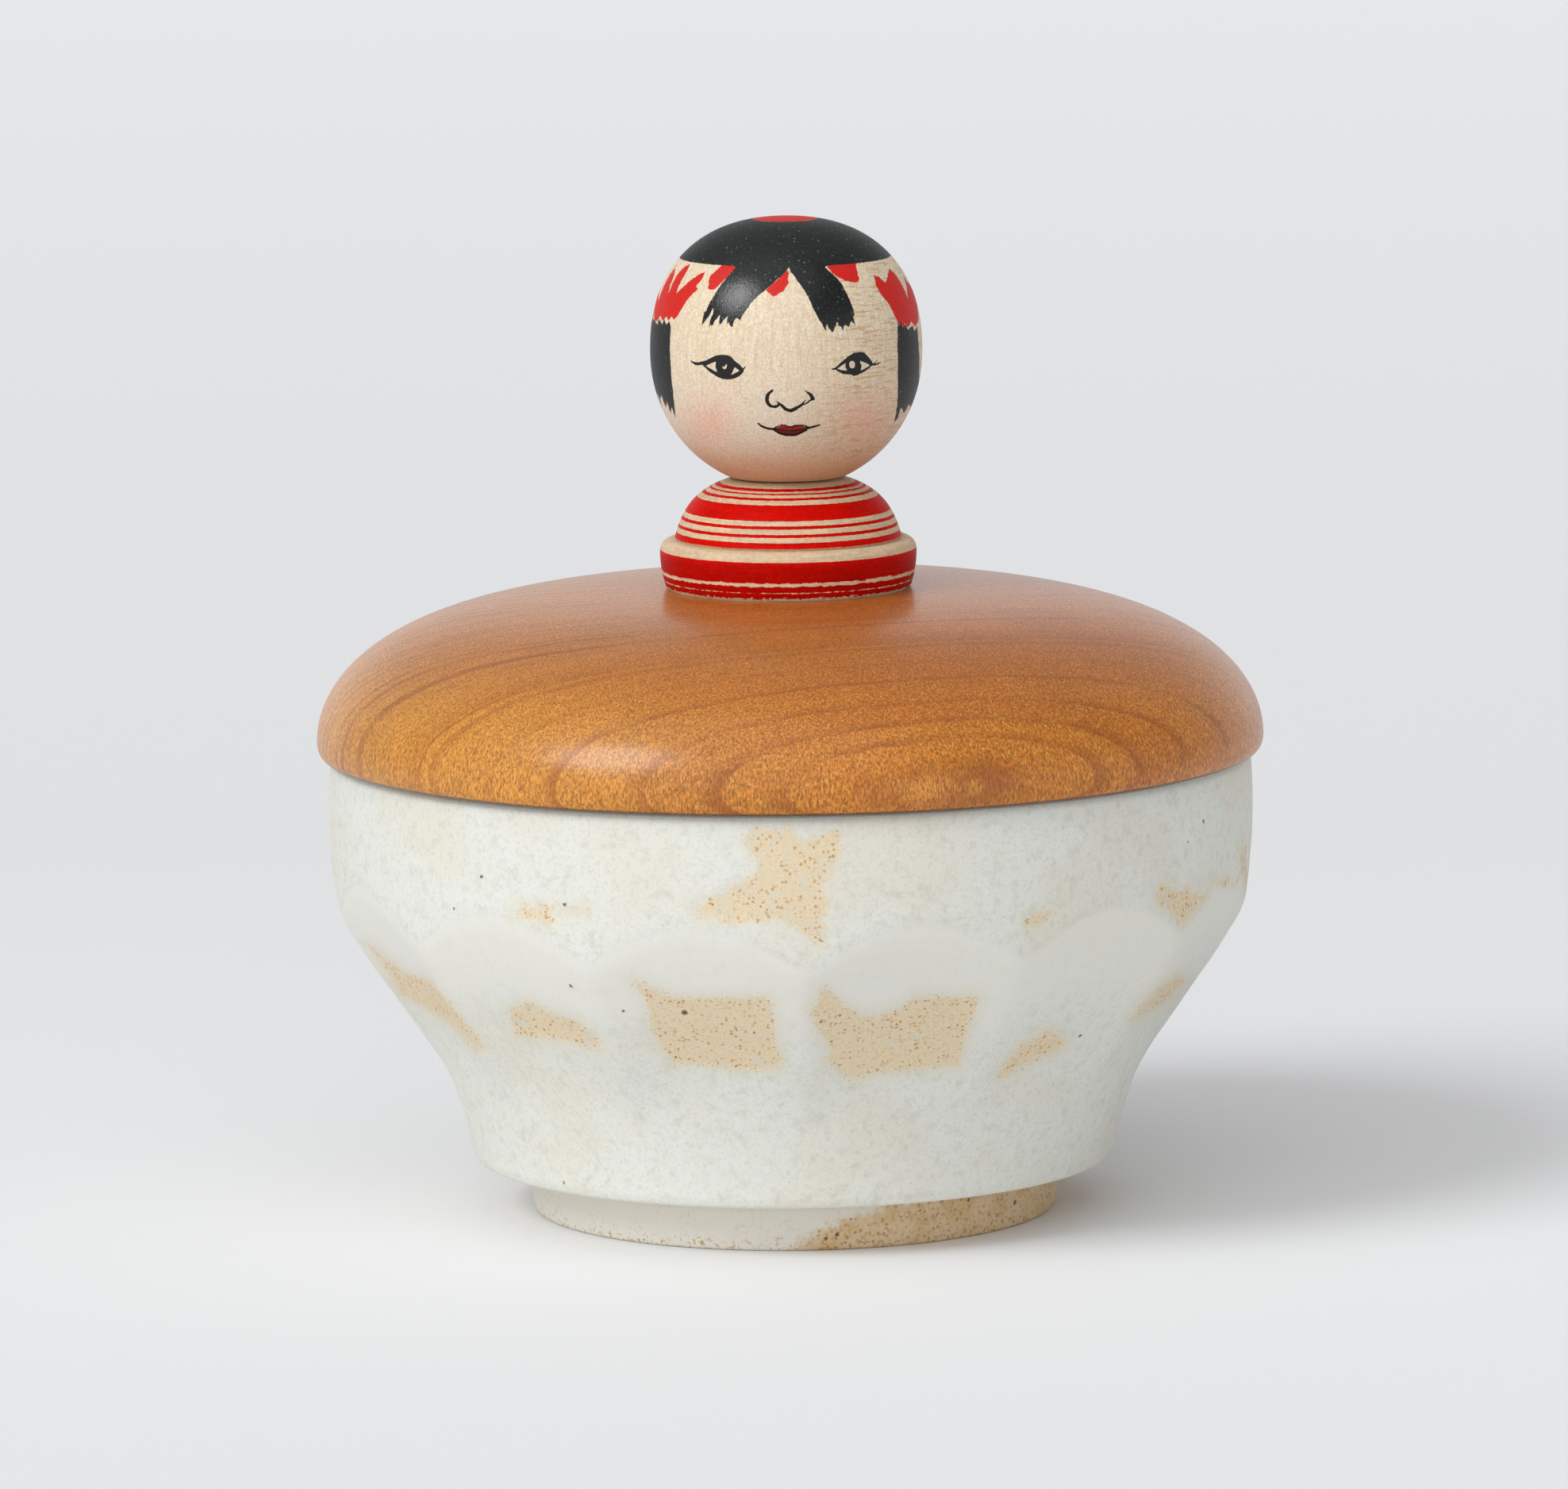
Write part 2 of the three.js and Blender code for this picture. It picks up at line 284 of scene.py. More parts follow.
# %% Bowl sizes
bowl_height = 58.8
band_radius = 58.65
band_belly_drop = 7.3
rim_draw = 0.35
rim_wall = 4.0
rim_round = 0.8
skirt_radius = 40.7
skirt_height = 6.7
skirt_flare = 0.17
skirt_curve = 0.0105
skirt_curve_rise = 12
facet_count = 13
facet_first_angle = math.radians(-12.2)
facet_foot = (43.3, 19)
facet_slope = 0.667
facet_top = (58.3, 44.5)
facet_top_slope = 0.4
facet_top_blend = 2.0
skirt_blend = 1.2
band_blend = 0.8
ridge_angle = math.radians(1.1)
bowl_wall = 4.6
bowl_floor_height = 10.5
bowl_floor_rise = 15
bowl_floor_roundness = 2.2
foot_radius = 33.2
foot_top_radius = 34.0
foot_height = 6.3
foot_ring_width = 5.2
foot_recess = 3.6
foot_taper = 0.13
recess_round = 1.0
foot_inner_round = 0.6
foot_outer_round = 0.5
foot_flat = 2.4
ledge_round = 0.9
rim_radius = band_radius - rim_draw
mouth_radius = rim_radius - rim_wall
facet_half = math.pi / facet_count
print("mouth radius", round(mouth_radius, 2), "mm")

# %% Bowl wall formula
def rounded_min(a, b, blend):
    """The smaller of two lengths, with the corner between them rounded over a blend length."""
    share = np.clip(0.5 + (b - a) / (2 * blend), 0, 1)
    return b + (a - b) * share - blend * share * (1 - share) / 2


def band_at(height):
    return band_radius - rim_draw / band_belly_drop**2 * (height - bowl_height + band_belly_drop) ** 2


def skirt_at(height):
    rise = height - skirt_height
    curved = np.minimum(rise, skirt_curve_rise)
    end_slope = skirt_flare + 2 * skirt_curve * curved
    return skirt_radius + skirt_flare * curved + skirt_curve * curved**2 + end_slope * (rise - curved)


def facet_at(height, angle):
    """Radius of the cut facets, with the ridges between them softened as under a glaze."""
    turn = (angle - facet_first_angle) / (2 * facet_half)
    off_centre = np.abs(turn - np.round(turn)) * 2 * facet_half
    softened = facet_half - np.hypot(facet_half - off_centre, ridge_angle)
    cut = facet_foot[0] + facet_slope * (height - facet_foot[1])
    top = facet_top[0] + facet_top_slope * (height - facet_top[1])
    return rounded_min(cut, top, facet_top_blend) / np.cos(softened)


def below_band_at(height, angle):
    """Radius of the skirt or the facets, whichever is larger."""
    return -rounded_min(-skirt_at(height), -facet_at(height, angle), skirt_blend)


def wall_at(height, angle):
    return rounded_min(band_at(height), below_band_at(height, angle), band_blend)


def inner_at(height):
    share = (height - bowl_floor_height) / (bowl_height - bowl_floor_height)
    straight = wall_at(height, facet_first_angle) - (bowl_wall + (rim_wall - bowl_wall) * share)
    depth = max(0, 1 - (height - bowl_floor_height) / bowl_floor_rise)
    return float(straight) * (1 - depth**bowl_floor_roundness) ** (1 / bowl_floor_roundness)


print("wall radius at mid height", round(float(wall_at(30, facet_first_angle)), 2), "mm")

# %% Bowl profile
def floor_height_at(turn):
    return bowl_floor_height + bowl_floor_rise * (1 - math.cos(turn))


foot_inner = foot_radius - foot_ring_width
rim_low = bowl_height - rim_round
skirt_low = skirt_height + rim_round
bowl_profile = [(0, foot_recess), (foot_inner * 0.4, foot_recess), (foot_inner * 0.8, foot_recess)]
bowl_profile += arc(foot_inner - recess_round, foot_recess - recess_round, recess_round, 90, 0)
bowl_profile += arc(foot_inner + foot_inner_round, foot_inner_round, foot_inner_round, 180, 270, 3)
bowl_profile += [(foot_radius - foot_flat, 0)]
bowl_profile += arc(foot_radius - foot_outer_round, foot_outer_round, foot_outer_round, 270, 360, 4)
bowl_profile += along(8, 1, foot_height - 0.8, lambda z: foot_radius + foot_taper * z, lambda z: z)
bowl_profile += arc(foot_top_radius + 0.75, foot_height - 0.55, ledge_round, 180, 95, 4)
bowl_profile += arc(skirt_radius - rim_round, skirt_low, rim_round, 270, 350, 5)
bowl_profile += along(100, skirt_low + 0.25, rim_low, lambda z: float(wall_at(z, 0)), lambda z: z)
bowl_profile += arc(rim_radius - rim_round, rim_low, rim_round, 10, 90, 6)
bowl_profile += [(rim_radius - rim_wall / 2, bowl_height)]
bowl_profile += arc(mouth_radius + rim_round, rim_low, rim_round, 90, 170, 6)
bowl_profile += along(18, rim_low, bowl_floor_height + bowl_floor_rise, inner_at, lambda z: z)[:-1]
bowl_profile += along(18, math.pi / 2, 0, lambda t: inner_at(floor_height_at(t)), floor_height_at)
bowl_profile[-1] = (0, bowl_floor_height)
columns_per_facet = 34
bowl = spun("bowl_stoneware", bowl_profile, facet_count * columns_per_facet)

# %% Cut facets
points = places(bowl)
height, angle, radius = around(points)
on_wall = (height > skirt_low) & (height < rim_low + 0.01) & (radius > wall_at(height, 0) - 0.1)
cut_share = np.where(on_wall, wall_at(height, angle) / radius, 1)
points[:, :2] *= cut_share[:, None]
set_places(bowl, points)
deepest_cut = float(((1 - cut_share) * radius).max())
print("wall points cut", int(on_wall.sum()), "deepest", round(deepest_cut, 2), "mm")

# %% [markdown]
# The glaze was brushed on in short strokes, and between the strokes the clay stays bare in small windows.
# Each window is a drawn outline. A point of the bowl is put into the photograph by the camera's
# own projection, and its distance to the outline, in millimetres and negative inside, is kept on the
# point. The material turns that distance into an edge, and adds its raggedness, so the edge stays sharp
# at any size.

# %% Where the photograph shows a point
to_camera = np.array(camera.matrix_world.inverted())


def in_photo(points_mm):
    """Pixels of the 1976 by 1876 photograph at which points of the model are seen."""
    seen_from = points_mm * MM @ to_camera[:3, :3].T + to_camera[:3, 3]
    across = picture_size[0] / 2 + pixels_focal * seen_from[:, 0] / -seen_from[:, 2]
    down = picture_size[1] / 2 - pixels_focal * seen_from[:, 1] / -seen_from[:, 2]
    return np.column_stack([across, down])


mm_per_pixel = camera_place.length / pixels_focal / MM
print("the bowl's axis at the floor is at pixel", in_photo(np.zeros((1, 3)))[0].round(1))

# %% Distances to drawn shapes
def to_outline(spots, outline):
    """Signed distance from each spot to a closed outline, negative inside."""
    corners = np.asarray(outline, float)
    nearest = np.full(len(spots), np.inf)
    inside = np.zeros(len(spots), bool)
    for start, end in zip(corners, np.roll(corners, -1, axis=0)):
        edge = end - start
        share = np.clip((spots - start) @ edge / (edge @ edge), 0, 1)
        nearest = np.minimum(nearest, np.linalg.norm(spots - start - share[:, None] * edge, axis=1))
        if start[1] != end[1]:
            crosses = (spots[:, 1] > start[1]) != (spots[:, 1] > end[1])
            meets = start[0] + (spots[:, 1] - start[1]) * edge[0] / edge[1]
            inside ^= crosses & (spots[:, 0] < meets)
    return np.where(inside, -nearest, nearest)


def smooth(path, steps=5):
    """A path through all its points with rounded bends between them."""
    knots = np.asarray(path, float)
    knots = np.vstack([2 * knots[0] - knots[1], knots, 2 * knots[-1] - knots[-2]])
    t = np.linspace(0, 1, steps, endpoint=False)[:, None]
    runs = []
    for a, b, c, d in zip(knots[:-3], knots[1:-2], knots[2:-1], knots[3:]):
        square, cube = 2 * a - 5 * b + 4 * c - d, 3 * b - 3 * c + d - a
        runs.append(0.5 * (2 * b + (c - a) * t + square * t**2 + cube * t**3))
    return np.vstack(runs + [knots[-2]])


def to_stroke(spots, path, steps=5):
    """Signed distance from each spot to a stroke, whose path has a place and a half width at each point."""
    nearest = np.full(len(spots), np.inf)
    drawn = smooth(path, steps)
    for start, end in zip(drawn[:-1], drawn[1:]):
        edge = end[:-1] - start[:-1]
        share = np.clip((spots - start[:-1]) @ edge / max(edge @ edge, 1e-9), 0, 1)
        gap = np.linalg.norm(spots - start[:-1] - share[:, None] * edge, axis=1)
        nearest = np.minimum(nearest, gap - start[-1] - share * (end[-1] - start[-1]))
    return nearest


unit_square = [(0, 0), (1, 0), (1, 1), (0, 1)]
print("distance at a unit square's middle", to_outline(np.array([[0.5, 0.5]]), unit_square))

# %% Clay windows seen in front, in the photograph's pixels
bowl_shift_pixels = (4.0, 0.0)
front_windows = {
    "centre left": [
        (801, 1233), (826, 1246), (854, 1257), (909, 1258), (971, 1258), (978, 1266), (978, 1303),
        (990, 1334), (991, 1345), (937, 1348), (854, 1338), (840, 1320), (826, 1292), (820, 1262),
    ],
    "centre right": [
        (1044, 1245), (1026, 1275), (1040, 1306), (1054, 1323), (1049, 1337), (1076, 1360), (1118, 1351),
        (1207, 1342), (1211, 1344), (1223, 1298), (1237, 1256), (1160, 1256), (1135, 1272), (1110, 1284),
        (1085, 1276), (1062, 1262),
    ],
    "left ridge": [
        (469, 1192), (488, 1206), (514, 1227), (543, 1235), (557, 1251), (583, 1280), (615, 1320),
        (605, 1323), (573, 1291), (536, 1267), (509, 1251), (493, 1227),
    ],
    "left facet": [
        (647, 1272), (669, 1264), (706, 1280), (730, 1286), (759, 1310), (759, 1323), (719, 1312),
        (655, 1304),
    ],
    "right facet": [
        (1260, 1358), (1274, 1338), (1294, 1316), (1328, 1298), (1348, 1313), (1337, 1324), (1303, 1336),
        (1274, 1356),
    ],
    "far right facet": [
        (1431, 1286), (1440, 1270), (1463, 1247), (1489, 1230), (1497, 1236), (1480, 1256), (1446, 1278),
    ],
    "band": [
        (1079, 1036), (1057, 1080), (1046, 1117), (1044, 1150), (1042, 1184), (1032, 1195), (1021, 1178),
        (987, 1164), (937, 1161), (895, 1160), (873, 1156), (879, 1139), (904, 1128), (937, 1117),
        (948, 1100), (951, 1078), (943, 1055), (951, 1039), (976, 1047), (1007, 1040), (1021, 1055),
        (1065, 1036),
    ],
    "band left": [(653, 1146), (680, 1141), (700, 1144), (701, 1157), (672, 1160), (655, 1156)],
    "band left end": [(712, 1134), (728, 1137), (744, 1142), (747, 1160), (730, 1158), (713, 1152)],
    "band right spot": [(1297, 1156), (1312, 1154), (1327, 1153), (1318, 1163), (1300, 1167)],
    "band right diamond": [
        (1470, 1121), (1502, 1110), (1517, 1121), (1519, 1136), (1492, 1167), (1472, 1141),
    ],
    "band far right": [(1535, 1112), (1548, 1107), (1562, 1104), (1560, 1112), (1546, 1117)],
    "band edge": [(1571, 1061), (1578, 1070), (1579, 1112), (1572, 1116), (1569, 1090)],
}
print("clay windows in front", len(front_windows))

# %% Clay windows on the far side, by facet
rng = np.random.default_rng(13)
window_height = 31.0
window_size = (15.0, 9.5)
unroll_radius = 50
seen_within = math.radians(88)
window_shape = np.array([(-1, 1), (1, 1), (0.85, -1), (-0.75, -1)])
band_spot_shape = np.array([(-1, 0.2), (0.2, 1), (1.1, -0.1), (0.1, -0.8)])


def far_windows():
    """A wonky window on each facet that the photograph doesn't show, and some spots on the band."""
    windows = []
    for facet in range(facet_count):
        middle = math.remainder(facet_first_angle + facet * 2 * facet_half, full_turn)
        across = middle * unroll_radius
        spread = rng.uniform(0.55, 1.0)
        jitter = rng.uniform(-1.6, 1.6, (4, 2))
        spot_jitter = rng.uniform(-1.5, 1.5, (4, 2))
        spot_height = rng.uniform(44.5, 49.5)
        spot_size = rng.uniform(2.2, 6.0)
        if abs(middle) < seen_within:
            continue
        corners = window_shape * np.array(window_size) / 2
        corners = corners * (spread, 0.6 + 0.4 * spread) + (across, window_height)
        windows.append(corners + jitter)
        if facet % 3 != 1:
            spot = band_spot_shape * (spot_size, spot_size * 0.7)
            windows.append(spot + (across + 6, spot_height) + spot_jitter)
    return windows


back_windows = far_windows()
print("clay windows behind", len(back_windows))

# %% Measure the glaze over the bowl
no_window_mm = 20.0
front_reach = math.radians(93)
back_reach = math.radians(84)
points = places(bowl)
height, angle, radius = around(points)
outside = (radius > wall_at(height, angle) - 0.3) & (height > skirt_low - 1)
seen_at = in_photo(points) + bowl_shift_pixels
front = outside & (np.abs(angle) < front_reach)
window_mm = np.full(len(points), no_window_mm)
for outline in front_windows.values():
    window_mm[front] = np.minimum(window_mm[front], to_outline(seen_at[front], outline) * mm_per_pixel)
back = outside & (np.abs(angle) > back_reach)
unrolled = np.column_stack([angle * unroll_radius, height])[back]
for outline in back_windows:
    for lap in (-1, 0, 1):
        moved = np.asarray(outline) + (lap * full_turn * unroll_radius, 0)
        window_mm[back] = np.minimum(window_mm[back], to_outline(unrolled, moved))
below_band = band_at(height) - below_band_at(height, angle)
give_attribute(bowl, "window_mm", window_mm)
give_attribute(bowl, "facet_depth_mm", np.where(outside, below_band, -5))
print("bare points on the bowl", int((window_mm < 0).sum()))

# %% Bare foot of the bowl
foot_tan_outline = [
    (995, 1590), (1012, 1572), (1060, 1541), (1140, 1514), (1200, 1500), (1420, 1450), (1420, 1590),
]
foot_front_reach = math.radians(80)
foot_tan_end = math.radians(155)
foot_area = (height < skirt_height + 0.3) & (radius > foot_inner - 1.5) & (radius < foot_top_radius + 3)
tan_mm = np.full(len(points), no_window_mm)
foot_front = foot_area & (np.abs(angle) < foot_front_reach)
tan_mm[foot_front] = to_outline(seen_at[foot_front], foot_tan_outline) * mm_per_pixel
foot_side = foot_area & (angle >= foot_front_reach)
tan_mm[foot_side] = (angle[foot_side] - foot_tan_end) * foot_radius
give_attribute(bowl, "tan_mm", tan_mm)
foot_share = np.clip((skirt_height + 0.35 - height) / 0.3, 0, 1) * (radius > foot_inner - 1.2)
give_attribute(bowl, "foot", foot_share)
print("foot points", int(foot_area.sum()))

# %% Glaze thickness
glaze_relief = 0.14
wobble_mm = 0.12
glaze_edge = 0.35
pool_depth, pool_width, pool_lowest = 0.9, 1.1, 36
bare = 1 / (1 + np.exp(window_mm / glaze_edge))
pooled = np.exp(-(((below_band - pool_depth) / pool_width) ** 2)) * (height > pool_lowest)
wobble = np.sin(3 * angle + 0.6) * np.cos(height / 9) + 0.6 * np.sin(7 * angle + height / 6)
fade = np.clip((rim_low - 1.5 - height) / 6, 0, 1) * np.clip((height - skirt_low) / 3, 0, 1)
swell = np.where(outside, (glaze_relief * (0.6 * pooled - bare) + wobble_mm * wobble * 0.5) * fade, 0)
points[:, :2] *= (1 + swell / np.maximum(radius, 1))[:, None]
set_places(bowl, points)
print("glaze relief from", round(float(swell.min()), 2), "to", round(float(swell.max()), 2), "mm")

# %% [markdown]
# The lid is turned from one block of cherry with its fibres upright: a low dome that overhangs the rim, a
# ring below that locates it in the mouth, and a hollow. Its dome is a superellipse, which is flatter than
# a ball on top and rounder at the side. The seat lies on the rim, and the doll stands on the flat crown.

# %% Lid sizes and profile
lid_radius = 60.03
lid_edge_height = 1.5
lid_edge_round = 0.8
dome_rise = 19.13
dome_side = 3.572
spigot_play = 0.9
spigot_depth = 4.5
spigot_width = 5.0
spigot_round = 0.6
crown_thickness = 9.5
hollow_side = 3.0
flange_radius = 16.25
seat_margin = 1.2
crown_point_radius = 9
peg_radius = 3.0
peg_in_lid = 6.5
peg_in_doll = 4.0
peg_clearance = 0.3
lid_edge_z = bowl_height + lid_edge_height
crown_angle = math.acos(((flange_radius + seat_margin) / lid_radius) ** (dome_side / 2))
crown_z = lid_edge_z + dome_rise * math.sin(crown_angle)
spigot_radius = mouth_radius - spigot_play
spigot_low = bowl_height - spigot_depth
hollow_radius = spigot_radius - spigot_width
hollow_rise = crown_z - crown_thickness - spigot_low
hole_radius = peg_radius + peg_clearance

lid_profile = along(
    26, math.pi / 2, 0,
    lambda t: hollow_radius * max(0, math.cos(t)) ** (2 / hollow_side),
    lambda t: spigot_low + spigot_round + (hollow_rise - spigot_round) * math.sin(t),
)
lid_profile[0] = (0, spigot_low + hollow_rise)
lid_profile += arc(hollow_radius + spigot_round, spigot_low + spigot_round, spigot_round, 180, 270, 4)[1:]
lid_profile += arc(spigot_radius - spigot_round, spigot_low + spigot_round, spigot_round, 270, 360, 4)
lid_profile += [(spigot_radius, bowl_height)]
lid_profile += along(
    7, 0, math.pi / 2,
    lambda t: lid_radius - lid_edge_round * (1 - math.sin(t)),
    lambda t: lid_edge_z - lid_edge_height * math.cos(t),
)[:-1]
lid_profile += along(
    64, 0, crown_angle,
    lambda t: lid_radius * math.cos(t) ** (2 / dome_side),
    lambda t: lid_edge_z + dome_rise * math.sin(t),
)
peg_hole_low = crown_z - peg_in_lid - peg_clearance
lid_profile += [(crown_point_radius, crown_z), (hole_radius, crown_z)]
lid_profile += [(hole_radius, peg_hole_low), (0, peg_hole_low)]
lid = spun("lid_cherry", lid_profile, columns=288)

# %% [markdown]
# A short hardwood peg joins the doll to the lid. It is hidden when the lid is whole. It is glued 6.5 mm deep
# in the lid's crown and 4 mm deep in the doll's base. Its ends are rounded so that they enter the holes.

# %% Peg
peg_round = 0.5
peg_low = crown_z - peg_in_lid
peg_high = crown_z + peg_in_doll
peg_profile = [(0, peg_low)] + arc(peg_radius - peg_round, peg_low + peg_round, peg_round, 270, 360)
peg_profile += arc(peg_radius - peg_round, peg_high - peg_round, peg_round, 0, 90) + [(0, peg_high)]
peg = spun("peg_hardwood", peg_profile, columns=64)

# %% [markdown]
# The doll's body is turned with a skirt ring, a ledge and rounded shoulders up to a collar. Its curves
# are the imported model's own, drawn with more points. A fine groove runs where the shoulder meets the ledge.

# %% Doll body sizes and profile
doll_base_radius = 15.2
doll_base_round = 0.4
flange_height = 4.55
flange_bulge_height = 2.6
ledge_rise = 1.7
ledge_step = 0.25
shoulder_radius = 14.35
shoulder_height = 7.7
shoulder_side = (0.95, 0.47)
shoulder_turn = (2.35, 0.82)
collar_radius = 7.0
neck_radius = 4.9
neck_bulge_radius = 5.9
neck_length = 6.1
neck_bulge_height = 2.2
neck_clearance = 0.3
head_gap = 0.25
flange_z = crown_z + flange_height
ledge_z = flange_z + ledge_rise
collar_z = ledge_z + shoulder_height
neck_low = collar_z + head_gap - neck_length
bulge_top = neck_low + neck_bulge_height
socket_mouth = neck_radius + neck_clearance
socket_radius = neck_bulge_radius + neck_clearance


def bezier(controls, steps):
    """Points of a Bezier curve of any order."""
    level = np.repeat(np.array(controls, float)[:, None, :], steps + 1, axis=1)
    t = np.linspace(0, 1, steps + 1)[:, None]
    while len(level) > 1:
        level = level[:-1] * (1 - t) + level[1:] * t
    return [tuple(point) for point in level[0]]


base_corner = (doll_base_radius + doll_base_round, crown_z + doll_base_round)
flange_low = (flange_radius, crown_z + flange_bulge_height)
flange_edge = (flange_radius, flange_z)
ledge_edge = (shoulder_radius + ledge_step, ledge_z)
shoulder_controls = [
    (shoulder_radius, ledge_z + ledge_step),
    (shoulder_radius - shoulder_side[0], ledge_z + shoulder_height * shoulder_side[1]),
    (shoulder_radius - shoulder_turn[0], ledge_z + shoulder_height * shoulder_turn[1]),
    (collar_radius, collar_z),
]
groove = [
    (shoulder_radius + 0.08, ledge_z - 0.04), (shoulder_radius - 0.25, ledge_z + 0.02),
    (shoulder_radius - 0.22, ledge_z + 0.14),
]
socket = [
    (socket_mouth, collar_z),
    (socket_mouth, bulge_top + neck_clearance),
    (socket_radius, bulge_top + neck_clearance - (socket_radius - socket_mouth)),
    (socket_radius, neck_low - neck_clearance),
    (0, neck_low - neck_clearance),
]
peg_hole_top = peg_high + peg_clearance
doll_profile = [(0, peg_hole_top), (hole_radius, peg_hole_top), (hole_radius, crown_z)]
doll_profile += [(crown_point_radius, crown_z), (doll_base_radius, crown_z)]
doll_profile += bezier([base_corner, flange_low, flange_edge], 12)
doll_profile += bezier([flange_edge, (flange_radius, ledge_z), ledge_edge], 12)[1:]
doll_profile += groove + bezier(shoulder_controls, 44) + socket
doll_body = spun("doll_body_turned", doll_profile, columns=240)
print("collar at", round(collar_z, 2), "mm")

# %% [markdown]
# The head is a ball that is a little flattened above, cut flat under the chin, with a plug that snaps
# into the collar's socket so that it turns. It is painted with fine brush lines of about 0.4 mm. So its
# rows are close together over the face, and after the spin its columns are drawn together towards the
# front.

# %% Head sizes and profile
head_radius = 17.2
head_lower = (17.5, 2.05)
head_upper = (16.9, 2.3)
head_seat_radius = 7.4
plug_round = 0.5
seat_z = collar_z + head_gap


def shrink(u, curve):
    return max(0, 1 - u**curve) ** (1 / curve)


widest_z = seat_z + head_lower[0] * shrink(head_seat_radius / head_radius, head_lower[1])


def head_radius_at(height):
    part, curve = head_lower if height < widest_z else head_upper
    return head_radius * shrink(abs(height - widest_z) / part, curve)


def head_rows(heights):
    return [(head_radius_at(z), z) for z in heights]


head_top = widest_z + head_upper[0]
face_low, face_high = 99.0, 120.4
chin_ends = [math.asin((widest_z - z) / head_lower[0]) for z in (seat_z, face_low)]
chin_turn = np.linspace(*chin_ends, 12)
crown_turn = np.linspace(math.asin((face_high - widest_z) / head_upper[0]), math.pi / 2, 34)
head_profile = [
    (0, neck_low),
    (neck_bulge_radius - plug_round, neck_low),
    (neck_bulge_radius, neck_low + plug_round),
    (neck_bulge_radius, bulge_top - (neck_bulge_radius - neck_radius)),
    (neck_radius, bulge_top),
    (neck_radius, seat_z),
]
head_profile += head_rows(widest_z - head_lower[0] * np.sin(chin_turn[:-1]))
head_profile += head_rows(np.linspace(face_low, face_high, 150))
head_profile += head_rows(widest_z + head_upper[0] * np.sin(crown_turn[1:]))
head_profile[-1] = (0, head_top)
head = spun("doll_head_turned", head_profile, columns=430)
face_crowding = 0.45
points = places(head)
_, angle, ring_radius = around(points)
angle -= face_crowding * np.sin(angle)
points[:, 0] = ring_radius * np.sin(angle)
points[:, 1] = -ring_radius * np.cos(angle)
set_places(head, points)
print("head from", round(seat_z, 2), "to", round(head_top, 2), "mm")

# %% [markdown]
# The face is painted with a few brush strokes in a traditional manner: a black cap of hair with a red
# ring on top, a parted fringe, locks and red ribbons at the sides, and fine lines for the eyes, nose and
# mouth. Each mark is a stroke with a width at each of its points, or a small outline, placed where the
# photograph shows it. As on the bowl, the distance to the nearest mark is kept on the points, and the
# material draws the edge.

# %% Face marks in the photograph's pixels
head_in_photo = (986.5, 440.0)
fringe_outlines = [
    [
        (924, 335), (910, 350.5), (901, 362), (893, 375), (886.5, 388), (881.5, 408), (888, 399),
        (895.5, 386), (893.5, 397), (890, 404), (893, 411), (897, 403), (902, 396.5), (904.5, 396.5),
        (903, 404), (902, 411), (907, 403), (913.5, 396.5), (913.5, 403), (915, 409), (918.5, 411),
        (920.5, 404), (924, 399), (929.5, 404), (931, 397), (935, 391.5), (943, 380), (953, 370),
        (960.5, 364.5), (989, 339), (989, 329), (924, 329),
    ],
    [
        (988, 329), (991.5, 340.5), (1003, 356), (1013, 371), (1021, 389), (1031, 407), (1037.5, 418.5),
        (1036, 403), (1039, 411), (1045, 418), (1048, 412), (1051, 404), (1052.5, 410), (1056, 411),
        (1058, 419.5), (1059.5, 409), (1062, 408.5), (1065.5, 412), (1067, 406), (1069, 404), (1074.5, 411),
        (1070.5, 397), (1073, 397), (1069.5, 384), (1064, 371), (1056.5, 357), (1049, 348), (1036, 336.5),
        (1036, 329),
    ],
]
ribbon_outlines = [
    [
        (822, 400), (824, 388), (828, 372), (834, 358), (841, 345), (847, 336), (845, 347), (840, 360),
        (838, 368), (843, 357), (849, 345), (857, 336), (866, 331), (861, 342), (855, 352), (850, 362),
        (848, 369), (856, 361), (866, 352), (876, 345), (884, 341.5), (882, 349), (877, 355), (873, 359),
        (875, 364), (869, 369), (862, 377), (856, 387), (850, 397), (845, 403), (842, 397), (839, 404),
        (835, 398), (831, 404), (828, 397), (824, 403),
    ],
    [
        (1096.9, 345), (1104.4, 348.5), (1111.5, 356), (1113.5, 350), (1116.2, 336.7), (1124.5, 345),
        (1130.4, 354.4), (1136.3, 366.2), (1139.8, 375.6), (1137.4, 352), (1145.7, 361.5), (1149.2, 378),
        (1151.6, 392.1), (1151.6, 406.3), (1149.2, 411), (1144.5, 403.9), (1139.8, 412.2), (1136.3, 406.3),
        (1132.7, 413.4), (1127.5, 405), (1123.3, 396.9), (1116.2, 382.7), (1106.8, 370.9), (1099.7, 359.1),
    ],
    [
        (889.5, 347.5), (903, 336), (906, 331), (932, 331), (924, 336), (902, 358.5), (895, 364.5),
        (888, 364),
    ],
    [(960.5, 364.5), (989, 339), (990.5, 343), (988.5, 350), (990, 354.5), (983, 366), (971, 373)],
    [
        (1037, 335), (1040, 330), (1074.5, 330), (1076, 341), (1078.5, 349.5), (1078, 354.5), (1069.5, 355),
        (1059, 352), (1049, 347),
    ],
]
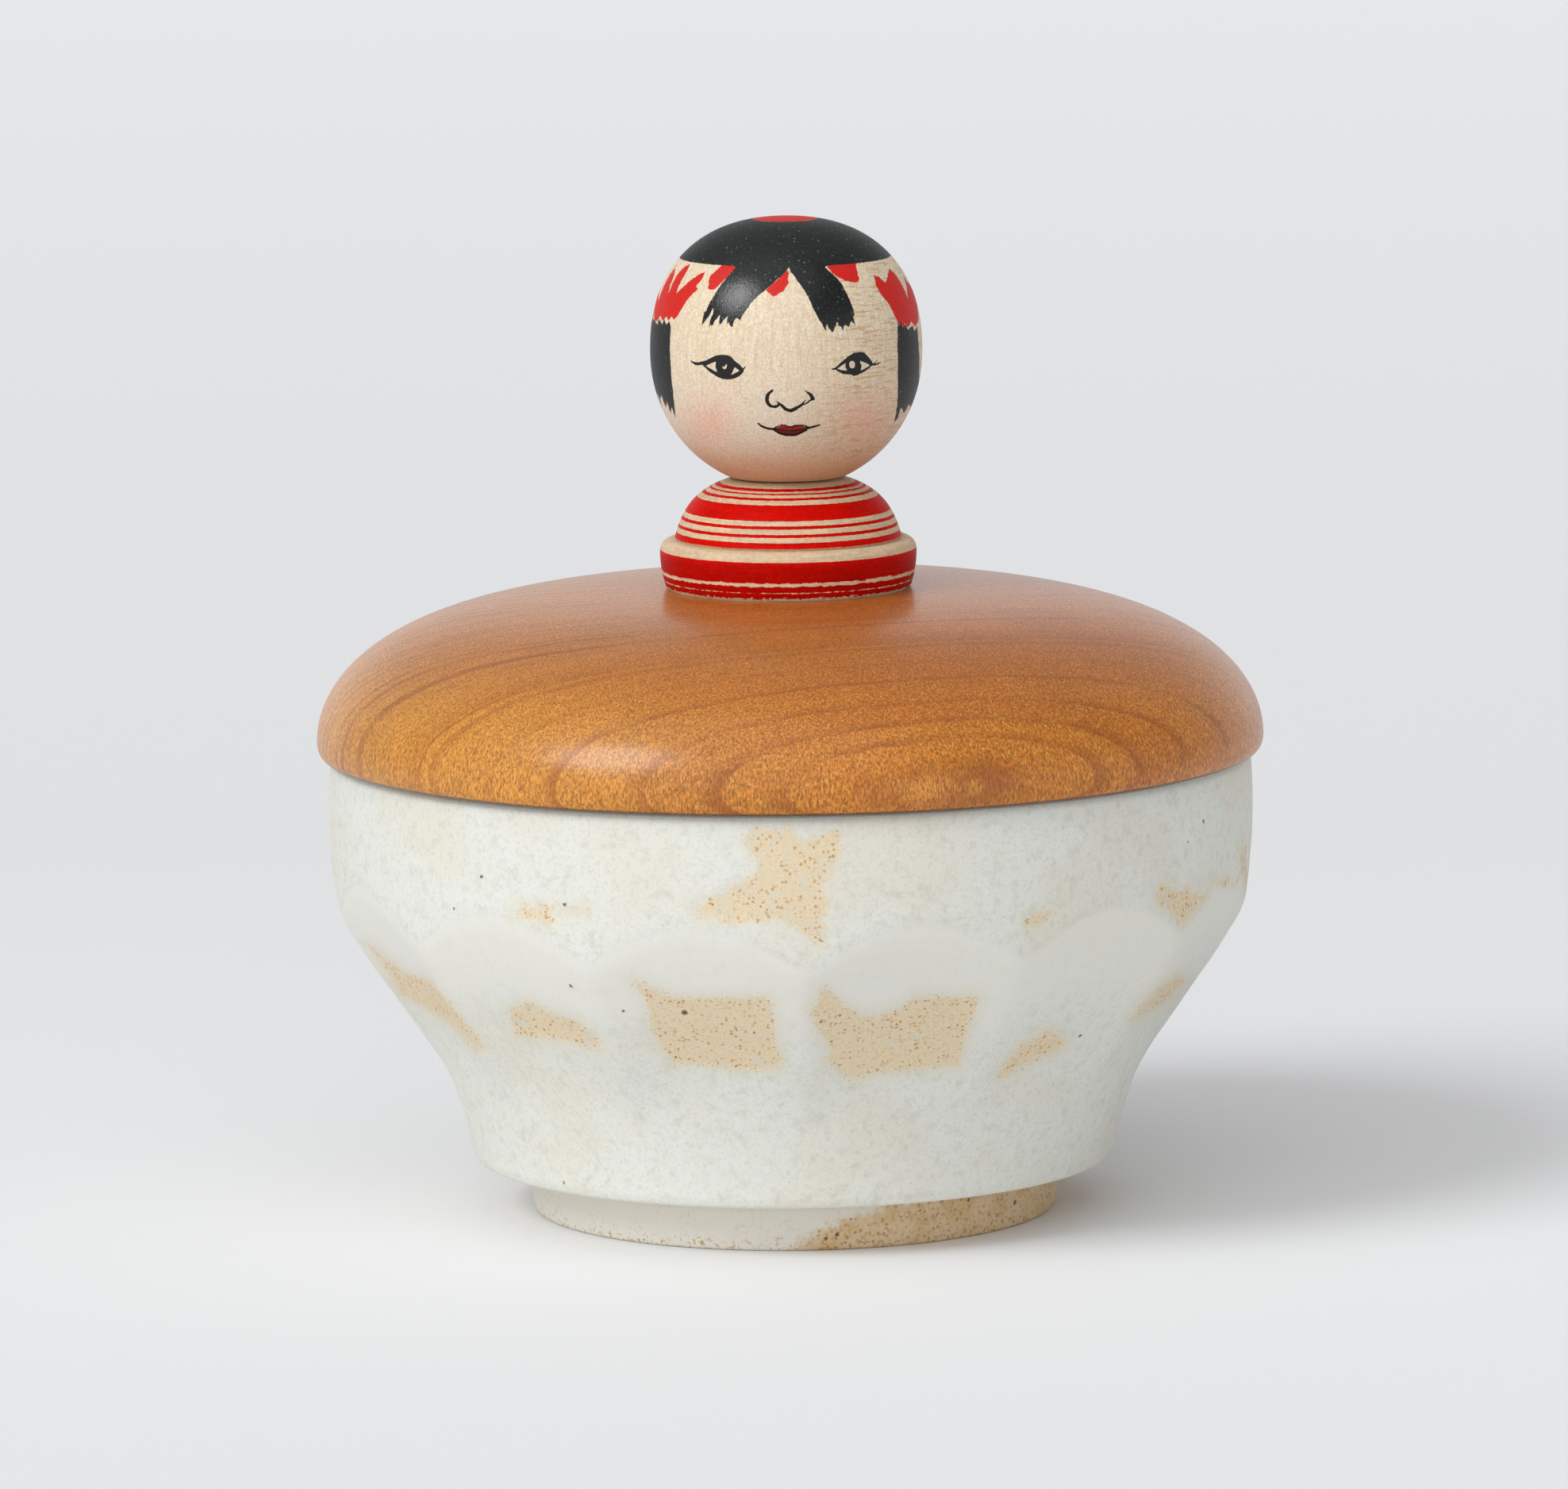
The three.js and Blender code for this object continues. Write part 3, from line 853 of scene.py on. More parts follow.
lock_outlines = [
    [
        (803, 414), (811, 405), (815, 410), (820, 402), (824, 408), (826, 400), (830, 408), (833, 401),
        (836, 409), (839, 402), (841, 410), (840, 440), (841.5, 470), (844.5, 500), (847.5, 527),
        (842, 512), (841, 521), (836, 505), (835, 513), (829, 496), (828, 503), (822, 482), (815, 490),
        (803, 478),
    ],
    [
        (1127, 400), (1129, 410), (1131, 403), (1133, 412), (1137, 407), (1140, 415), (1145, 409),
        (1148, 416), (1152, 410), (1154.5, 450), (1154, 480), (1151, 495), (1145, 515), (1141, 508),
        (1135, 520), (1131, 512), (1127.5, 525), (1122.5, 532.5), (1127, 505), (1127, 480), (1127, 450),
    ],
]
eye_outlines = [
    [
        (881.5, 455.5), (889.5, 451), (897.5, 447), (905, 446), (913, 446.5), (917.5, 449), (922.5, 454.5),
        (929, 459.5), (932, 463.5), (933.5, 467), (928.5, 472.5), (922, 476), (913.5, 477.5),
        (905.5, 476.5), (899, 473.5), (890.5, 468), (885, 463), (881, 459),
    ],
    [
        (1046, 464), (1049, 462), (1054.5, 456.5), (1062.5, 449.5), (1070.5, 444), (1080, 442.5),
        (1084.5, 443), (1090, 448.5), (1096, 456.5), (1094.5, 460), (1090, 464), (1084.5, 468),
        (1078.5, 470.5), (1073, 473), (1067, 471), (1058, 470.5), (1053, 467.5),
    ],
]
eye_whites = [
    [(885, 460), (898, 454.5), (897.5, 462), (900.5, 469)],
    [(921, 461.5), (928, 466), (916, 472.5), (919.5, 467)],
    [(1050, 464), (1061, 457), (1061, 462), (1063.5, 466.5)],
    [(1078.5, 453), (1093, 459.5), (1080.5, 466), (1081.5, 459.5)],
]
eye_lights = [
    [(906.5, 461.5, 0.9), (909, 463, 1.5), (911, 459, 0.9)],
    [(1069.6, 457.5, 3.6), (1069.8, 459.5, 3.6)],
]
print("outlined marks", len(fringe_outlines) + len(ribbon_outlines) + len(eye_outlines) + len(eye_whites))

# %% Fine lines, each point with its half width in pixels
fringe_bristles = [
    [(884, 392, 1.1), (882, 402, 0.8), (879.5, 411, 0.2)],
    [(893, 398, 1.1), (891, 405, 0.8), (889.5, 411, 0.2)],
    [(905, 395, 1.1), (902.5, 404, 0.8), (901, 411.5, 0.2)],
    [(914, 398, 1.1), (912.5, 405, 0.8), (911.5, 410, 0.2)],
    [(922, 396, 1.1), (919.5, 404, 0.8), (917, 411.5, 0.2)],
    [(928, 392, 1.1), (928, 399, 0.8), (927, 405, 0.2)],
]
fine_lines = {
    "left lash": [
        (866, 453.2, 0.4), (869, 455.6, 1.2), (873, 457.3, 1.9), (878, 457.2, 2.0), (884, 455.5, 2.0),
    ],
    "left corner": [(931, 465, 1.8), (934, 462.5, 0.9), (935.6, 460, 0.3)],
    "right lash": [(1093, 457, 1.8), (1096, 458.4, 1.4), (1100.5, 458, 1.1), (1106.3, 455, 0.6)],
    "right lash hair": [(1097.5, 457.5, 0.5), (1099.5, 455, 0.5), (1102, 452.5, 0.25)],
    "right corner": [(1043.6, 462.6, 0.35), (1046, 464.3, 1.1), (1050, 462, 1.4)],
    "right lower drop": [(1072, 471.5, 1.2), (1072, 473, 0.6)],
    "nose curl": [
        (969, 491.2, 1.6), (965.5, 494, 2.0), (962.6, 498.5, 2.3), (962.3, 503.6, 2.3), (964.6, 508.4, 2.1),
        (968.7, 511.3, 1.8), (973.8, 511.3, 1.8), (977.3, 509.3, 1.4),
    ],
    "nose base": [
        (972.5, 503.9, 0.4), (977.6, 507.4, 1.4), (981.5, 510.6, 1.8), (985.9, 514.4, 2.0),
        (990.4, 516.4, 2.1), (994.8, 515.7, 2.4), (1000.6, 512.5, 2.0), (1005.7, 509.3, 1.5),
        (1010.8, 503.3, 0.6),
    ],
    "nostril": [(1006, 509.3, 1.2), (1012, 507.4, 1.1), (1016.5, 503.6, 1.2), (1020.4, 502, 1.7)],
    "nose wing": [
        (1009.5, 490.8, 0.5), (1014, 494, 1.2), (1017.5, 496.6, 2.1), (1019.1, 499.8, 2.5),
        (1021, 502, 1.6),
    ],
    "mouth left": [
        (950.8, 532.3, 0.9), (954.7, 535.5, 1.4), (960.4, 538, 1.4), (966.8, 539.6, 1.5), (972, 539.3, 1.5),
    ],
    "mouth right": [(1012, 539.2, 1.5), (1016, 538, 1.4), (1022.3, 536.4, 1.3), (1028.8, 534.4, 0.8)],
    "upper lip": [
        (972, 538.7, 1.2), (976.4, 536.1, 0.9), (980.8, 534.4, 0.8), (985.3, 535, 0.9), (988.5, 537.2, 1.2),
        (991, 536.8, 1.1), (994.2, 537.1, 1.1), (996.8, 535.6, 1.1), (1003.8, 534.9, 0.9),
        (1008.9, 535.3, 0.9), (1015.9, 537.6, 1.1),
    ],
    "between the lips": [
        (973.2, 539.9, 1.0), (984.6, 541, 0.9), (991, 541.8, 0.9), (997.4, 541.3, 0.9),
        (1010.2, 539.6, 1.0),
    ],
    "lower lip": [
        (970.6, 540.4, 1.3), (975.7, 543.6, 1.5), (983.4, 546.4, 1.6), (990.4, 547.1, 1.6),
        (998.7, 546.8, 1.6), (1005, 544.1, 1.5), (1012.1, 540.6, 1.3),
    ],
}
lip_outlines = {
    "upper": [
        (973, 539.5), (981, 534.5), (985, 535), (989, 537.5), (997, 536), (1004, 535), (1014, 538),
        (1004, 541), (991, 542), (982, 541),
    ],
    "lower": [
        (973, 540.5), (985, 541.5), (1000, 541.5), (1011, 540), (1003, 545), (991, 547.5), (981, 546),
    ],
}
print("fine lines", len(fine_lines))

# %% Side locks and ribbons, as (degrees from the front, height, half width) on the head
left_lock = [
    [(83, 110.8, 3.0), (83, 107.2, 3.0)],
    [(76.5, 108, 0.8), (78, 104.5, 0.5), (79, 102.6, 0.05)],
    [(83, 106, 0.9), (84, 103.4, 0.5), (84.5, 102.0, 0.05)],
    [(89, 106, 0.9), (89.5, 103.6, 0.5), (90, 102.4, 0.05)],
    [(84, 112.5, 0.6), (84.3, 114.4, 0.25), (84.5, 115.2, 0.05)],
]
left_ribbons = [
    [(76, 114.6, 1.0), (78, 116.4, 0.7), (79, 118.3, 0.42), (79.5, 120.9, 0.06)],
    [(78, 114.6, 1.0), (88, 116.6, 0.65), (94, 118.4, 0.4), (97, 119.8, 0.08)],
]
right_ribbons = [
    [(72, 114.4, 1.3), (77, 116.6, 0.9), (80.5, 118.8, 0.2)],
    [(78, 114.2, 1.1), (88, 116.2, 0.7), (95, 117.8, 0.4), (99, 119.2, 0.1)],
]


def on_head(path, side):
    """Turns (degrees, height, half width) points into places on the head's surface."""
    turns = np.radians([p[0] for p in path]) * side
    rings = np.array([head_radius_at(p[1]) for p in path])
    heights, widths = [p[1] for p in path], [p[2] for p in path]
    return np.column_stack([rings * np.sin(turns), -rings * np.cos(turns), heights, widths])


print("side strokes", len(left_lock) + len(left_ribbons) + len(right_ribbons))

# %% Measure the paint over the head
points = places(head)
head_axis = in_photo(np.array([[0, 0, widest_z]]))[0]
spots = in_photo(points) - head_axis + head_in_photo
faces_us = points[:, 1] < 0
head_mm_per_pixel = (camera_place - Vector((0, 0, widest_z * MM))).length / pixels_focal / MM
no_mark_mm = 9.0


def drawn(outlines=(), strokes=()):
    """Distance in millimetres to the nearest mark on the face, far away behind the head."""
    seen_spots = spots[faces_us]
    gaps = [to_outline(seen_spots, outline) for outline in outlines]
    gaps += [to_stroke(seen_spots, path) for path in strokes]
    nearest = np.full(len(points), no_mark_mm)
    nearest[faces_us] = np.minimum(no_mark_mm, np.min(gaps, axis=0) * head_mm_per_pixel)
    return nearest


def brushed(paths, side):
    gaps = [to_stroke(points, on_head(path, side)) for path in paths]
    return np.minimum(no_mark_mm, np.min(gaps, axis=0))


print("a pixel on the head is", round(head_mm_per_pixel, 3), "mm")

# %% Keep the paint's distances on the head
on_ball = points[:, 2] > seat_z + 0.3
cap_z = 121.3
cap_slope = 1.25
disc_radius = 4.0
height, _, ring_radius = around(points)
above = height > widest_z
cap_mm = (cap_z - height) * cap_slope
disc_mm = np.where(above, ring_radius - disc_radius, no_mark_mm)
hair_mm = np.minimum(cap_mm, drawn(fringe_outlines + lock_outlines, fringe_bristles))
hair_mm = np.minimum(hair_mm, brushed(left_lock, -1))
hair_mm = np.maximum(hair_mm, -disc_mm)
ribbon_mm = np.minimum(drawn(ribbon_outlines), disc_mm)
ribbon_mm = np.minimum(ribbon_mm, np.minimum(brushed(left_ribbons, -1), brushed(right_ribbons, 1)))
ink_mm = np.minimum(drawn(eye_outlines), drawn(strokes=fine_lines.values()))
ink_mm = np.maximum(ink_mm, -np.minimum(drawn(eye_whites), drawn(strokes=eye_lights)))
for name, values in (
    ("hair_mm", hair_mm),
    ("ribbon_mm", ribbon_mm),
    ("ink_mm", ink_mm),
    ("eye_mm", drawn(eye_outlines)),
    ("lip_mm", drawn(lip_outlines.values())),
    ("upper_lip_mm", drawn([lip_outlines["upper"]])),
):
    give_attribute(head, name, np.where(on_ball, values, no_mark_mm))
print("hair points", int((hair_mm < 0).sum()), "line points", int((ink_mm < 0).sum()))

# %% Rouge on the cheeks
cheeks = [(890, 531), (1083, 529)]
cheek_pixels = 31
rouge = np.zeros(len(points))
for cheek in cheeks:
    far = np.linalg.norm(spots - cheek, axis=1) / cheek_pixels
    rouge = np.maximum(rouge, np.where(faces_us, np.exp(-(far**2)), 0))
give_attribute(head, "rouge", rouge)
print("rouge at most", round(float(rouge.max()), 2))

# %% [markdown]
# Each finish starts from the real one. All patterns are worked out from places in millimetres, so a noise
# of 0.35 mm divides the place by 0.35. What is finer than a pixel of the picture is drawn coarser, so
# that it shows: the glaze's grit, the wood's fibres and pores, and the tooth of the brushed paint. A ramp
# is written as a value, where it starts and ends, and then what it gives there when that isn't 0 and 1.

# %% Starting a material
def start_material(name):
    """A new material, its tree, its shader, and the place on the piece in millimetres."""
    material = bpy.data.materials.new(name)
    material.use_nodes = True
    tree = material.node_tree
    spot = add(tree, "TexCoord").node.outputs["Object"]
    return material, tree, tree.nodes["Principled BSDF"], add(tree, "VectorMath SCALE", spot, 1 / MM)


def speckle(tree, place, size, detail=3.0, rough=0.6):
    """Noise with features of about the given size in millimetres, or of a size along each axis."""
    sizes = size if isinstance(size, tuple) else (size, size, size)
    scaled = add(tree, "VectorMath DIVIDE", place, sizes)
    return add(tree, "TexNoise", Vector=scaled, Scale=1.0, Detail=detail, Roughness=rough)


def swayed(tree, value, pattern, amount):
    """A value moved up and down by a pattern that lies about a half."""
    about_zero = add(tree, "Math SUBTRACT", pattern, 0.5)
    return add(tree, "Math MULTIPLY_ADD", about_zero, amount, value)


def where(tree, *ramps):
    """How far all the ramps hold at once. A socket counts as it is."""
    share = None
    for ramp in ramps:
        held = add(tree, "MapRange SMOOTHSTEP", *ramp) if isinstance(ramp, tuple) else ramp
        share = held if share is None else add(tree, "Math MULTIPLY", share, held)
    return share


def laid(tree, below, above, *ramps):
    """One colour laid over another where all the ramps hold."""
    return add(tree, "Mix RGBA", where(tree, *ramps), below, above)


print("material helpers ready")

# %% [markdown]
# Stoneware with a matte white glaze, brushed on and fired in an oxidising kiln. The glaze is a little
# thin in places, so the warm clay tints it, and it mottles softly. Bare clay is peach to tan, freckled
# with ochre and with a few rusty iron specks. The surface is dull, so it is rough, with a fine grain in
# its height.

# %% Stoneware: its patterns, with their sizes in millimetres
stoneware, tree, shader, place = start_material("matte_white_glaze_on_stoneware")
height = add(tree, "SeparateXYZ", place).node.outputs["Z"]
kept_on_points = ("window_mm", "facet_depth_mm", "tan_mm", "foot")
window, depth, tan, foot = (add(tree, "Attribute " + kept).node.outputs["Fac"] for kept in kept_on_points)
cloud = speckle(tree, place, 17, 2.0)
patch = speckle(tree, place, 4.2)
mottle = speckle(tree, place, 1.5)
fine = speckle(tree, place, 0.5)
tooth = speckle(tree, place, 0.22, 2.0)
dots = speckle(tree, place, 0.28, 3.0, 0.8)
print("numbers read from the bowl's points", kept_on_points)

# %% Stoneware: glaze, warm where it is thin, greyer in soft spots, with a fine grain
glaze = laid(tree, "#dddfd8", "#ddd4c3", (cloud, 0.46, 0.68, 0.0, 0.5))
glaze = laid(tree, glaze, "#c8c6b8", (mottle, 0.48, 0.72, 0.0, 0.5))
glaze = laid(tree, glaze, "#c0beae", (fine, 0.48, 0.74, 0.0, 0.45))
glaze = laid(tree, glaze, "#a8a89a", (dots, 0.5, 0.72, 0.0, 0.22))
pool = (swayed(tree, depth, mottle, 0.5), -0.15, 0.2)
glaze = laid(tree, glaze, "#e2e1d9", pool, (depth, 5.2, 1.8, 0.0, 0.75))
print("glaze nodes", len(tree.nodes))

# %% Stoneware: ragged edges of the clay windows, towards which the glaze thins
edge_sway = [(mottle, 1.4), (fine, 2.4), (tooth, 2.2)]
band_low, band_high = 42, 46
ragged = window
for pattern, amount in edge_sway:
    ragged = swayed(tree, ragged, pattern, amount)
band_wear = add(tree, "MapRange SMOOTHSTEP", height, band_low - 1, band_high - 1, 0.0, 6.5)
ragged = add(tree, "Math MULTIPLY_ADD", add(tree, "Math SUBTRACT", patch, 0.47), band_wear, ragged)
bare = where(tree, (ragged, 0.42, -0.42))
glaze = laid(tree, glaze, "#d9ccb0", (ragged, 2.0, 0.0, 0.0, 0.3))
print("a window's edge moves by up to", sum(amount for _, amount in edge_sway) / 2, "mm")

# %% Stoneware: bare clay, with ochre freckles in clusters, rusty specks and blobs of glaze
speck_cell, freckle_cell, blob_cell = 1.2, 0.58, 4.4
cells = add(tree, "TexVoronoi", Vector=place, Scale=1 / speck_cell)
chosen = add(tree, "SeparateColor", cells.node.outputs["Color"])
cells = swayed(tree, cells, fine, 0.35)
grits = add(tree, "TexVoronoi", Vector=place, Scale=1 / freckle_cell)
shown = add(tree, "SeparateColor", grits.node.outputs["Color"])
grits = swayed(tree, grits, speckle(tree, place, 0.3, 2.0), 1.2)
cluster = where(tree, (patch, 0.42, 0.6))
often = add(tree, "Math MAXIMUM", cluster, where(tree, (height, band_low, band_high, 0.0, 0.8)))
often = add(tree, "Math MAXIMUM", often, where(tree, (window, -1.8, -0.5)))
often = add(tree, "Math MULTIPLY_ADD", often, 0.7, 0.3)
clay = laid(tree, "#e2d1b4", "#cdb68f", (dots, 0.4, 0.66, 0.0, 0.6))
clay = laid(tree, clay, "#b58c50", (grits, 0.44, 0.2), (shown, 0.3, 0.7, 0.0, 0.9), often)
rust = where(tree, (cells, 0.19, 0.08, 0.0, 0.9), (chosen, 0.66, 0.78))
clay = laid(tree, clay, "#996832", rust)
blobs = swayed(tree, add(tree, "TexVoronoi", Vector=place, Scale=1 / blob_cell), mottle, 0.7)
clay = laid(tree, clay, "#d5cfbd", (blobs, 0.21, 0.13, 0.0, 0.8))
clay = laid(tree, clay, "#d6cfb9", (mottle, 0.5, 0.62, 0.0, 0.7), (height, band_low, band_high))
body = laid(tree, glaze, clay, bare)
print("freckles in cells of", freckle_cell, "mm, rusty specks in cells of", speck_cell, "mm")

# %% Stoneware: foot, with grey-cream slip, ochre along its low edge, and raw tan clay on one side
for pattern, amount in ((mottle, 4.5), (fine, 4.0)):
    tan = swayed(tree, tan, pattern, amount)
bare_foot = where(tree, (tan, 1.2, -1.2))
raw = laid(tree, "#e3dfd4", "#dac3a0", bare_foot)
raw = laid(tree, raw, "#cba56c", bare_foot, (patch, 0.42, 0.6, 0.0, 0.5))
raw = laid(tree, raw, "#bd9355", bare_foot, (fine, 0.5, 0.64, 0.0, 0.45))
raw = laid(tree, raw, "#a2763a", bare_foot, (grits, 0.46, 0.24), (shown, 0.5, 0.7, 0.0, 0.7))
clustered = add(tree, "Math MULTIPLY", cluster, 0.35)
low_edge = add(tree, "Math MULTIPLY_ADD", where(tree, (height, 2.2, 0.4)), 0.7, clustered)
raw = laid(tree, raw, "#bd9250", (fine, 0.52, 0.68), low_edge)
raw = laid(tree, raw, "#7d5020", rust, (tan, 1.0, -1.0))
body = laid(tree, body, raw, foot)
print("foot nodes", len(tree.nodes))

# %% Stoneware: iron specks in the photograph's pixels, each with its size in millimetres
iron_specks = {
    (800, 1187): 0.42, (610, 1107): 0.24, (717, 1138): 0.26, (577, 1132): 0.16, (577, 1143): 0.16,
    (722, 1241): 0.26, (790, 1274): 0.22, (715, 1490): 0.22, (864, 1508): 0.26, (1519, 1034): 0.26,
    (1500, 1058): 0.16, (1367, 1305): 0.26, (868, 1275): 0.42, (972, 1310): 0.34, (1044, 1558): 0.26,
    (1058, 1556): 0.3, (1225, 1512): 0.26, (1283, 1515): 0.34,
}
wall = places(bowl)
seen_at = in_photo(wall) + bowl_shift_pixels
visible = (wall[:, 1] < 0) & (np.hypot(wall[:, 0], wall[:, 1]) > foot_radius - 0.2)
for pixel, size in iron_specks.items():
    gaps = np.where(visible, np.linalg.norm(seen_at - pixel, axis=1), np.inf)
    centre = tuple(float(v) for v in wall[np.argmin(gaps)])
    away = swayed(tree, add(tree, "VectorMath DISTANCE", place, centre), tooth, 0.5)
    body = laid(tree, body, "#5d3f20", (away, size * 1.35, size * 0.5, 0.0, 0.92))
print("iron specks", len(iron_specks))

# %% Stoneware: a dull surface, rougher where it is bare
relief = add(tree, "Math MULTIPLY_ADD", dots, 0.5, mottle)
fill(tree, shader, {
    "Base Color": body,
    "Roughness": add(tree, "MapRange SMOOTHSTEP", bare, 0, 1, 0.55, 0.8),
    "Specular IOR Level": 0.35,
    "Normal": add(tree, "Bump", Height=relief, Strength=0.6, Distance=0.06 * MM),
})
print(stoneware.name, "has", len(tree.nodes), "nodes")

# %% [markdown]
# Cherry, turned with its fibres upright and oiled to a satin sheen. The year rings run round a nearly
# upright axis behind the middle, so they are arcs on the dome's front right and upright streaks at its
# side. Their radii are the ones seen there. Cut fibres are dots on top and short flecks at the side, from
# noises stretched upright.

# %% Cherry: distance from the leaning middle of the year rings
pith = (-14.2, 43.4, 0.0)
pith_height = 60.0
pith_lean = (-0.069, 0.127, 0.0)
level_only = (1, 1, 0)
cherry, tree, shader, place = start_material("oiled_turned_cherry")
parts = add(tree, "SeparateXYZ", place).node.outputs
height = parts["Z"]
lean = add(tree, "VectorMath SCALE", pith_lean, add(tree, "Math SUBTRACT", height, pith_height))
level = add(tree, "VectorMath MULTIPLY", add(tree, "VectorMath SUBTRACT", place, lean), level_only)
ring = add(tree, "VectorMath DISTANCE", level, pith)
bend = add(tree, "MapRange SMOOTHSTEP", ring, 92, 62, 0.8, 7.0)
ring = swayed(tree, ring, speckle(tree, place, 26, 2.0), bend)
ring = swayed(tree, ring, speckle(tree, place, 5, 2.0), 0.4)
print("pith at", pith, "mm")

# %% Cherry: soft tones across the years, and thin darker lines as (radius, half width, strength)
tones_per_mm = 0.33
lines_per_mm = 0.9
year_lines = [
    (60.5, 1.2, 0.2), (69.2, 0.6, 0.25), (74.5, 0.5, 0.15), (78.3, 0.6, 0.25), (82.6, 0.6, 0.2),
    (87.3, 0.8, 0.3), (93.6, 0.5, 0.2), (97.1, 0.35, 0.55), (100.6, 0.35, 0.45), (102.8, 0.35, 0.7),
    (104.2, 0.3, 0.5), (105.6, 0.3, 0.65),
]
wood = add(tree, "ValToRGB", add(tree, "TexNoise 1D", W=ring, Scale=tones_per_mm, Detail=4.0))
set_stops(wood, [(0.30, "#b1661a"), (0.5, "#b46a1a"), (0.70, "#b76e1c")])
wood = laid(tree, wood, "#c98d48", (ring, 105.2, 106.4, 0.0, 0.5))
thin = add(tree, "TexNoise 1D", W=ring, Scale=lines_per_mm, Detail=2.0)
line = where(tree, (thin, 0.55, 0.66, 0.0, 0.6), (ring, 94, 86))
for radius, half, strength in year_lines:
    gap = add(tree, "Math SUBTRACT", ring, radius)
    late = where(tree, (gap, -half * 1.7, half * 0.4, 0.0, strength), (gap, half * 0.75, half * 0.4))
    line = add(tree, "Math MAXIMUM", line, late)
line = where(tree, line, (speckle(tree, place, (14, 14, 9), 2.0), 0.34, 0.6, 0.35, 1.0))
# Paler and yellower towards the left, where the lamp falls: painted light.
wood = laid(tree, wood, "#cb9440", (parts["X"], 15, -45, 0.0, 0.45))
# Redder and darker on the top: painted shade, with a painted reflection of the red doll.
wood = laid(tree, wood, "#b85a08", (height, 67, 77, 0.0, 0.4))
print("year lines", len(year_lines))

# %% Cherry: cut fibres and dark pores, drawn wider than real ones so that they show, pale golden flecks painted as glints of light, and painted shade on the top
fibre = speckle(tree, place, (0.22, 0.22, 0.75), 4.0, 0.75)
fibre_glints = speckle(tree, place, (0.30, 0.30, 0.65), 2.0, 0.6)
dark = speckle(tree, place, (0.28, 0.28, 0.8), 3.0, 0.7)
cloud = speckle(tree, place, 20, 2.0)
# Fibre tone and a slow random cloud; the last ramp darkens the top, which is painted shade.
fibre_tone_and_top_shade = where(
    tree, (fibre, 0.36, 0.64, 0.56, 1.54), (cloud, 0.3, 0.7, 0.93, 1.05), (height, 64, 76, 1.02, 0.86)
)
wood = add(tree, "VectorMath SCALE", wood, fibre_tone_and_top_shade)
# Pale golden flecks: painted glints where the cut fibres catch the light, more of them on the side.
wood = laid(tree, wood, "#e6aa58", (fibre_glints, 0.54, 0.64), (height, 75, 65, 0.36, 0.5))
wood = laid(tree, wood, "#82430f", (dark, 0.57, 0.68, 0.0, 0.45))
wood = laid(tree, wood, "#8e450d", line)
print("cherry nodes", len(tree.nodes))

# %% Cherry: painted shade under the overhang, a red streak, a small knot, and the satin sheen of oil
# each mark has its middle and its half size along every axis
red_streak = ((34.5, -32.0, 70.0), (2.6, 0.5, 2.0))
knot_speck = ((4.0, -46.0, 70.5), (0.5, 0.5, 0.5))
# The outer underside of the overhang is painted near black: painted shade in the gap over the rim.
painted_shade_under_overhang = (height, lid_edge_z - 1.0, lid_edge_z - 1.3, 0.0, 0.8)
out = add(tree, "VectorMath LENGTH", add(tree, "VectorMath MULTIPLY", place, level_only))
wood = laid(tree, wood, "#2e1607", painted_shade_under_overhang, (out, spigot_radius + 1, spigot_radius + 2))
for centre, size in (red_streak, knot_speck):
    away = add(tree, "VectorMath DIVIDE", add(tree, "VectorMath SUBTRACT", place, centre), size)
    wood = laid(tree, wood, "#6d2a0c", (add(tree, "VectorMath LENGTH", away), 1.3, 0.5, 0.0, 0.6))
relief = add(tree, "Math SUBTRACT", fibre, dark)
fill(tree, shader, {
    "Base Color": wood,
    "Roughness": add(tree, "MapRange SMOOTHSTEP", fibre, 0.3, 0.7, 0.48, 0.36),
    "Specular IOR Level": 0.2,
    "Coat Weight": 0.58,
    "Coat Roughness": 0.23,
    "Normal": add(tree, "Bump", Height=relief, Strength=0.8, Distance=0.08 * MM),
})
print(cherry.name, "has", len(tree.nodes), "nodes")

# %% [markdown]
# The peg is plain pale hardwood off a dowel rod: fine upright fibres, no oil, and a dull cut surface.

# %% Bare hardwood
hardwood, tree, shader, place = start_material("bare_hardwood_dowel")
fibre = speckle(tree, place, (0.3, 0.3, 5.0))
fill(tree, shader, {
    "Base Color": laid(tree, "#c9a878", "#e2c89c", (fibre, 0.35, 0.65)),
    "Roughness": 0.7,
    "Normal": add(tree, "Bump", Height=fibre, Strength=0.3, Distance=0.05 * MM),
})
print(hardwood.name)

# %% [markdown]
# The stripes are brushed on while the body turns on the lathe, so they are true rings with slightly soft
# edges. Water-based red over pale dogwood, then wax. A ramp over the height holds the rings, and a small
# noise moves their edges. Near the base the brush skipped, which leaves a ragged pale line, a dashed one
# and worn chips.

# %% Doll body: rings, red below the first edge, then cream and red in turn
body_red = "#c60a01"
body_cream = "#d1b898"
rings_low, rings_high = 84.0, 94.0
ring_edges = [
    84.34, 85.8, 86.57, 87.18, 87.57, 88.2, 88.58, 89.19, 91.0, 91.53, 91.81, 92.12, 92.27, 92.46, 92.74,
]
striped, tree, shader, place = start_material("brushed_red_rings_on_turned_wood")
height = add(tree, "SeparateXYZ", place).node.outputs["Z"]
crisp = speckle(tree, place, (0.55, 0.55, 0.3), 3.0, 0.7)
moved = swayed(tree, height, speckle(tree, place, 1.8), 0.08)
moved = swayed(tree, moved, crisp, 0.16)
rings = add(tree, "ValToRGB", add(tree, "MapRange", moved, rings_low, rings_high))
rings.node.color_ramp.interpolation = "CONSTANT"
stops = [(0.0, body_red)]
for count, edge_z in enumerate(ring_edges):
    stops.append(((edge_z - rings_low) / (rings_high - rings_low), (body_cream, body_red)[count % 2]))
set_stops(rings, stops)
print("ring edges", len(ring_edges))

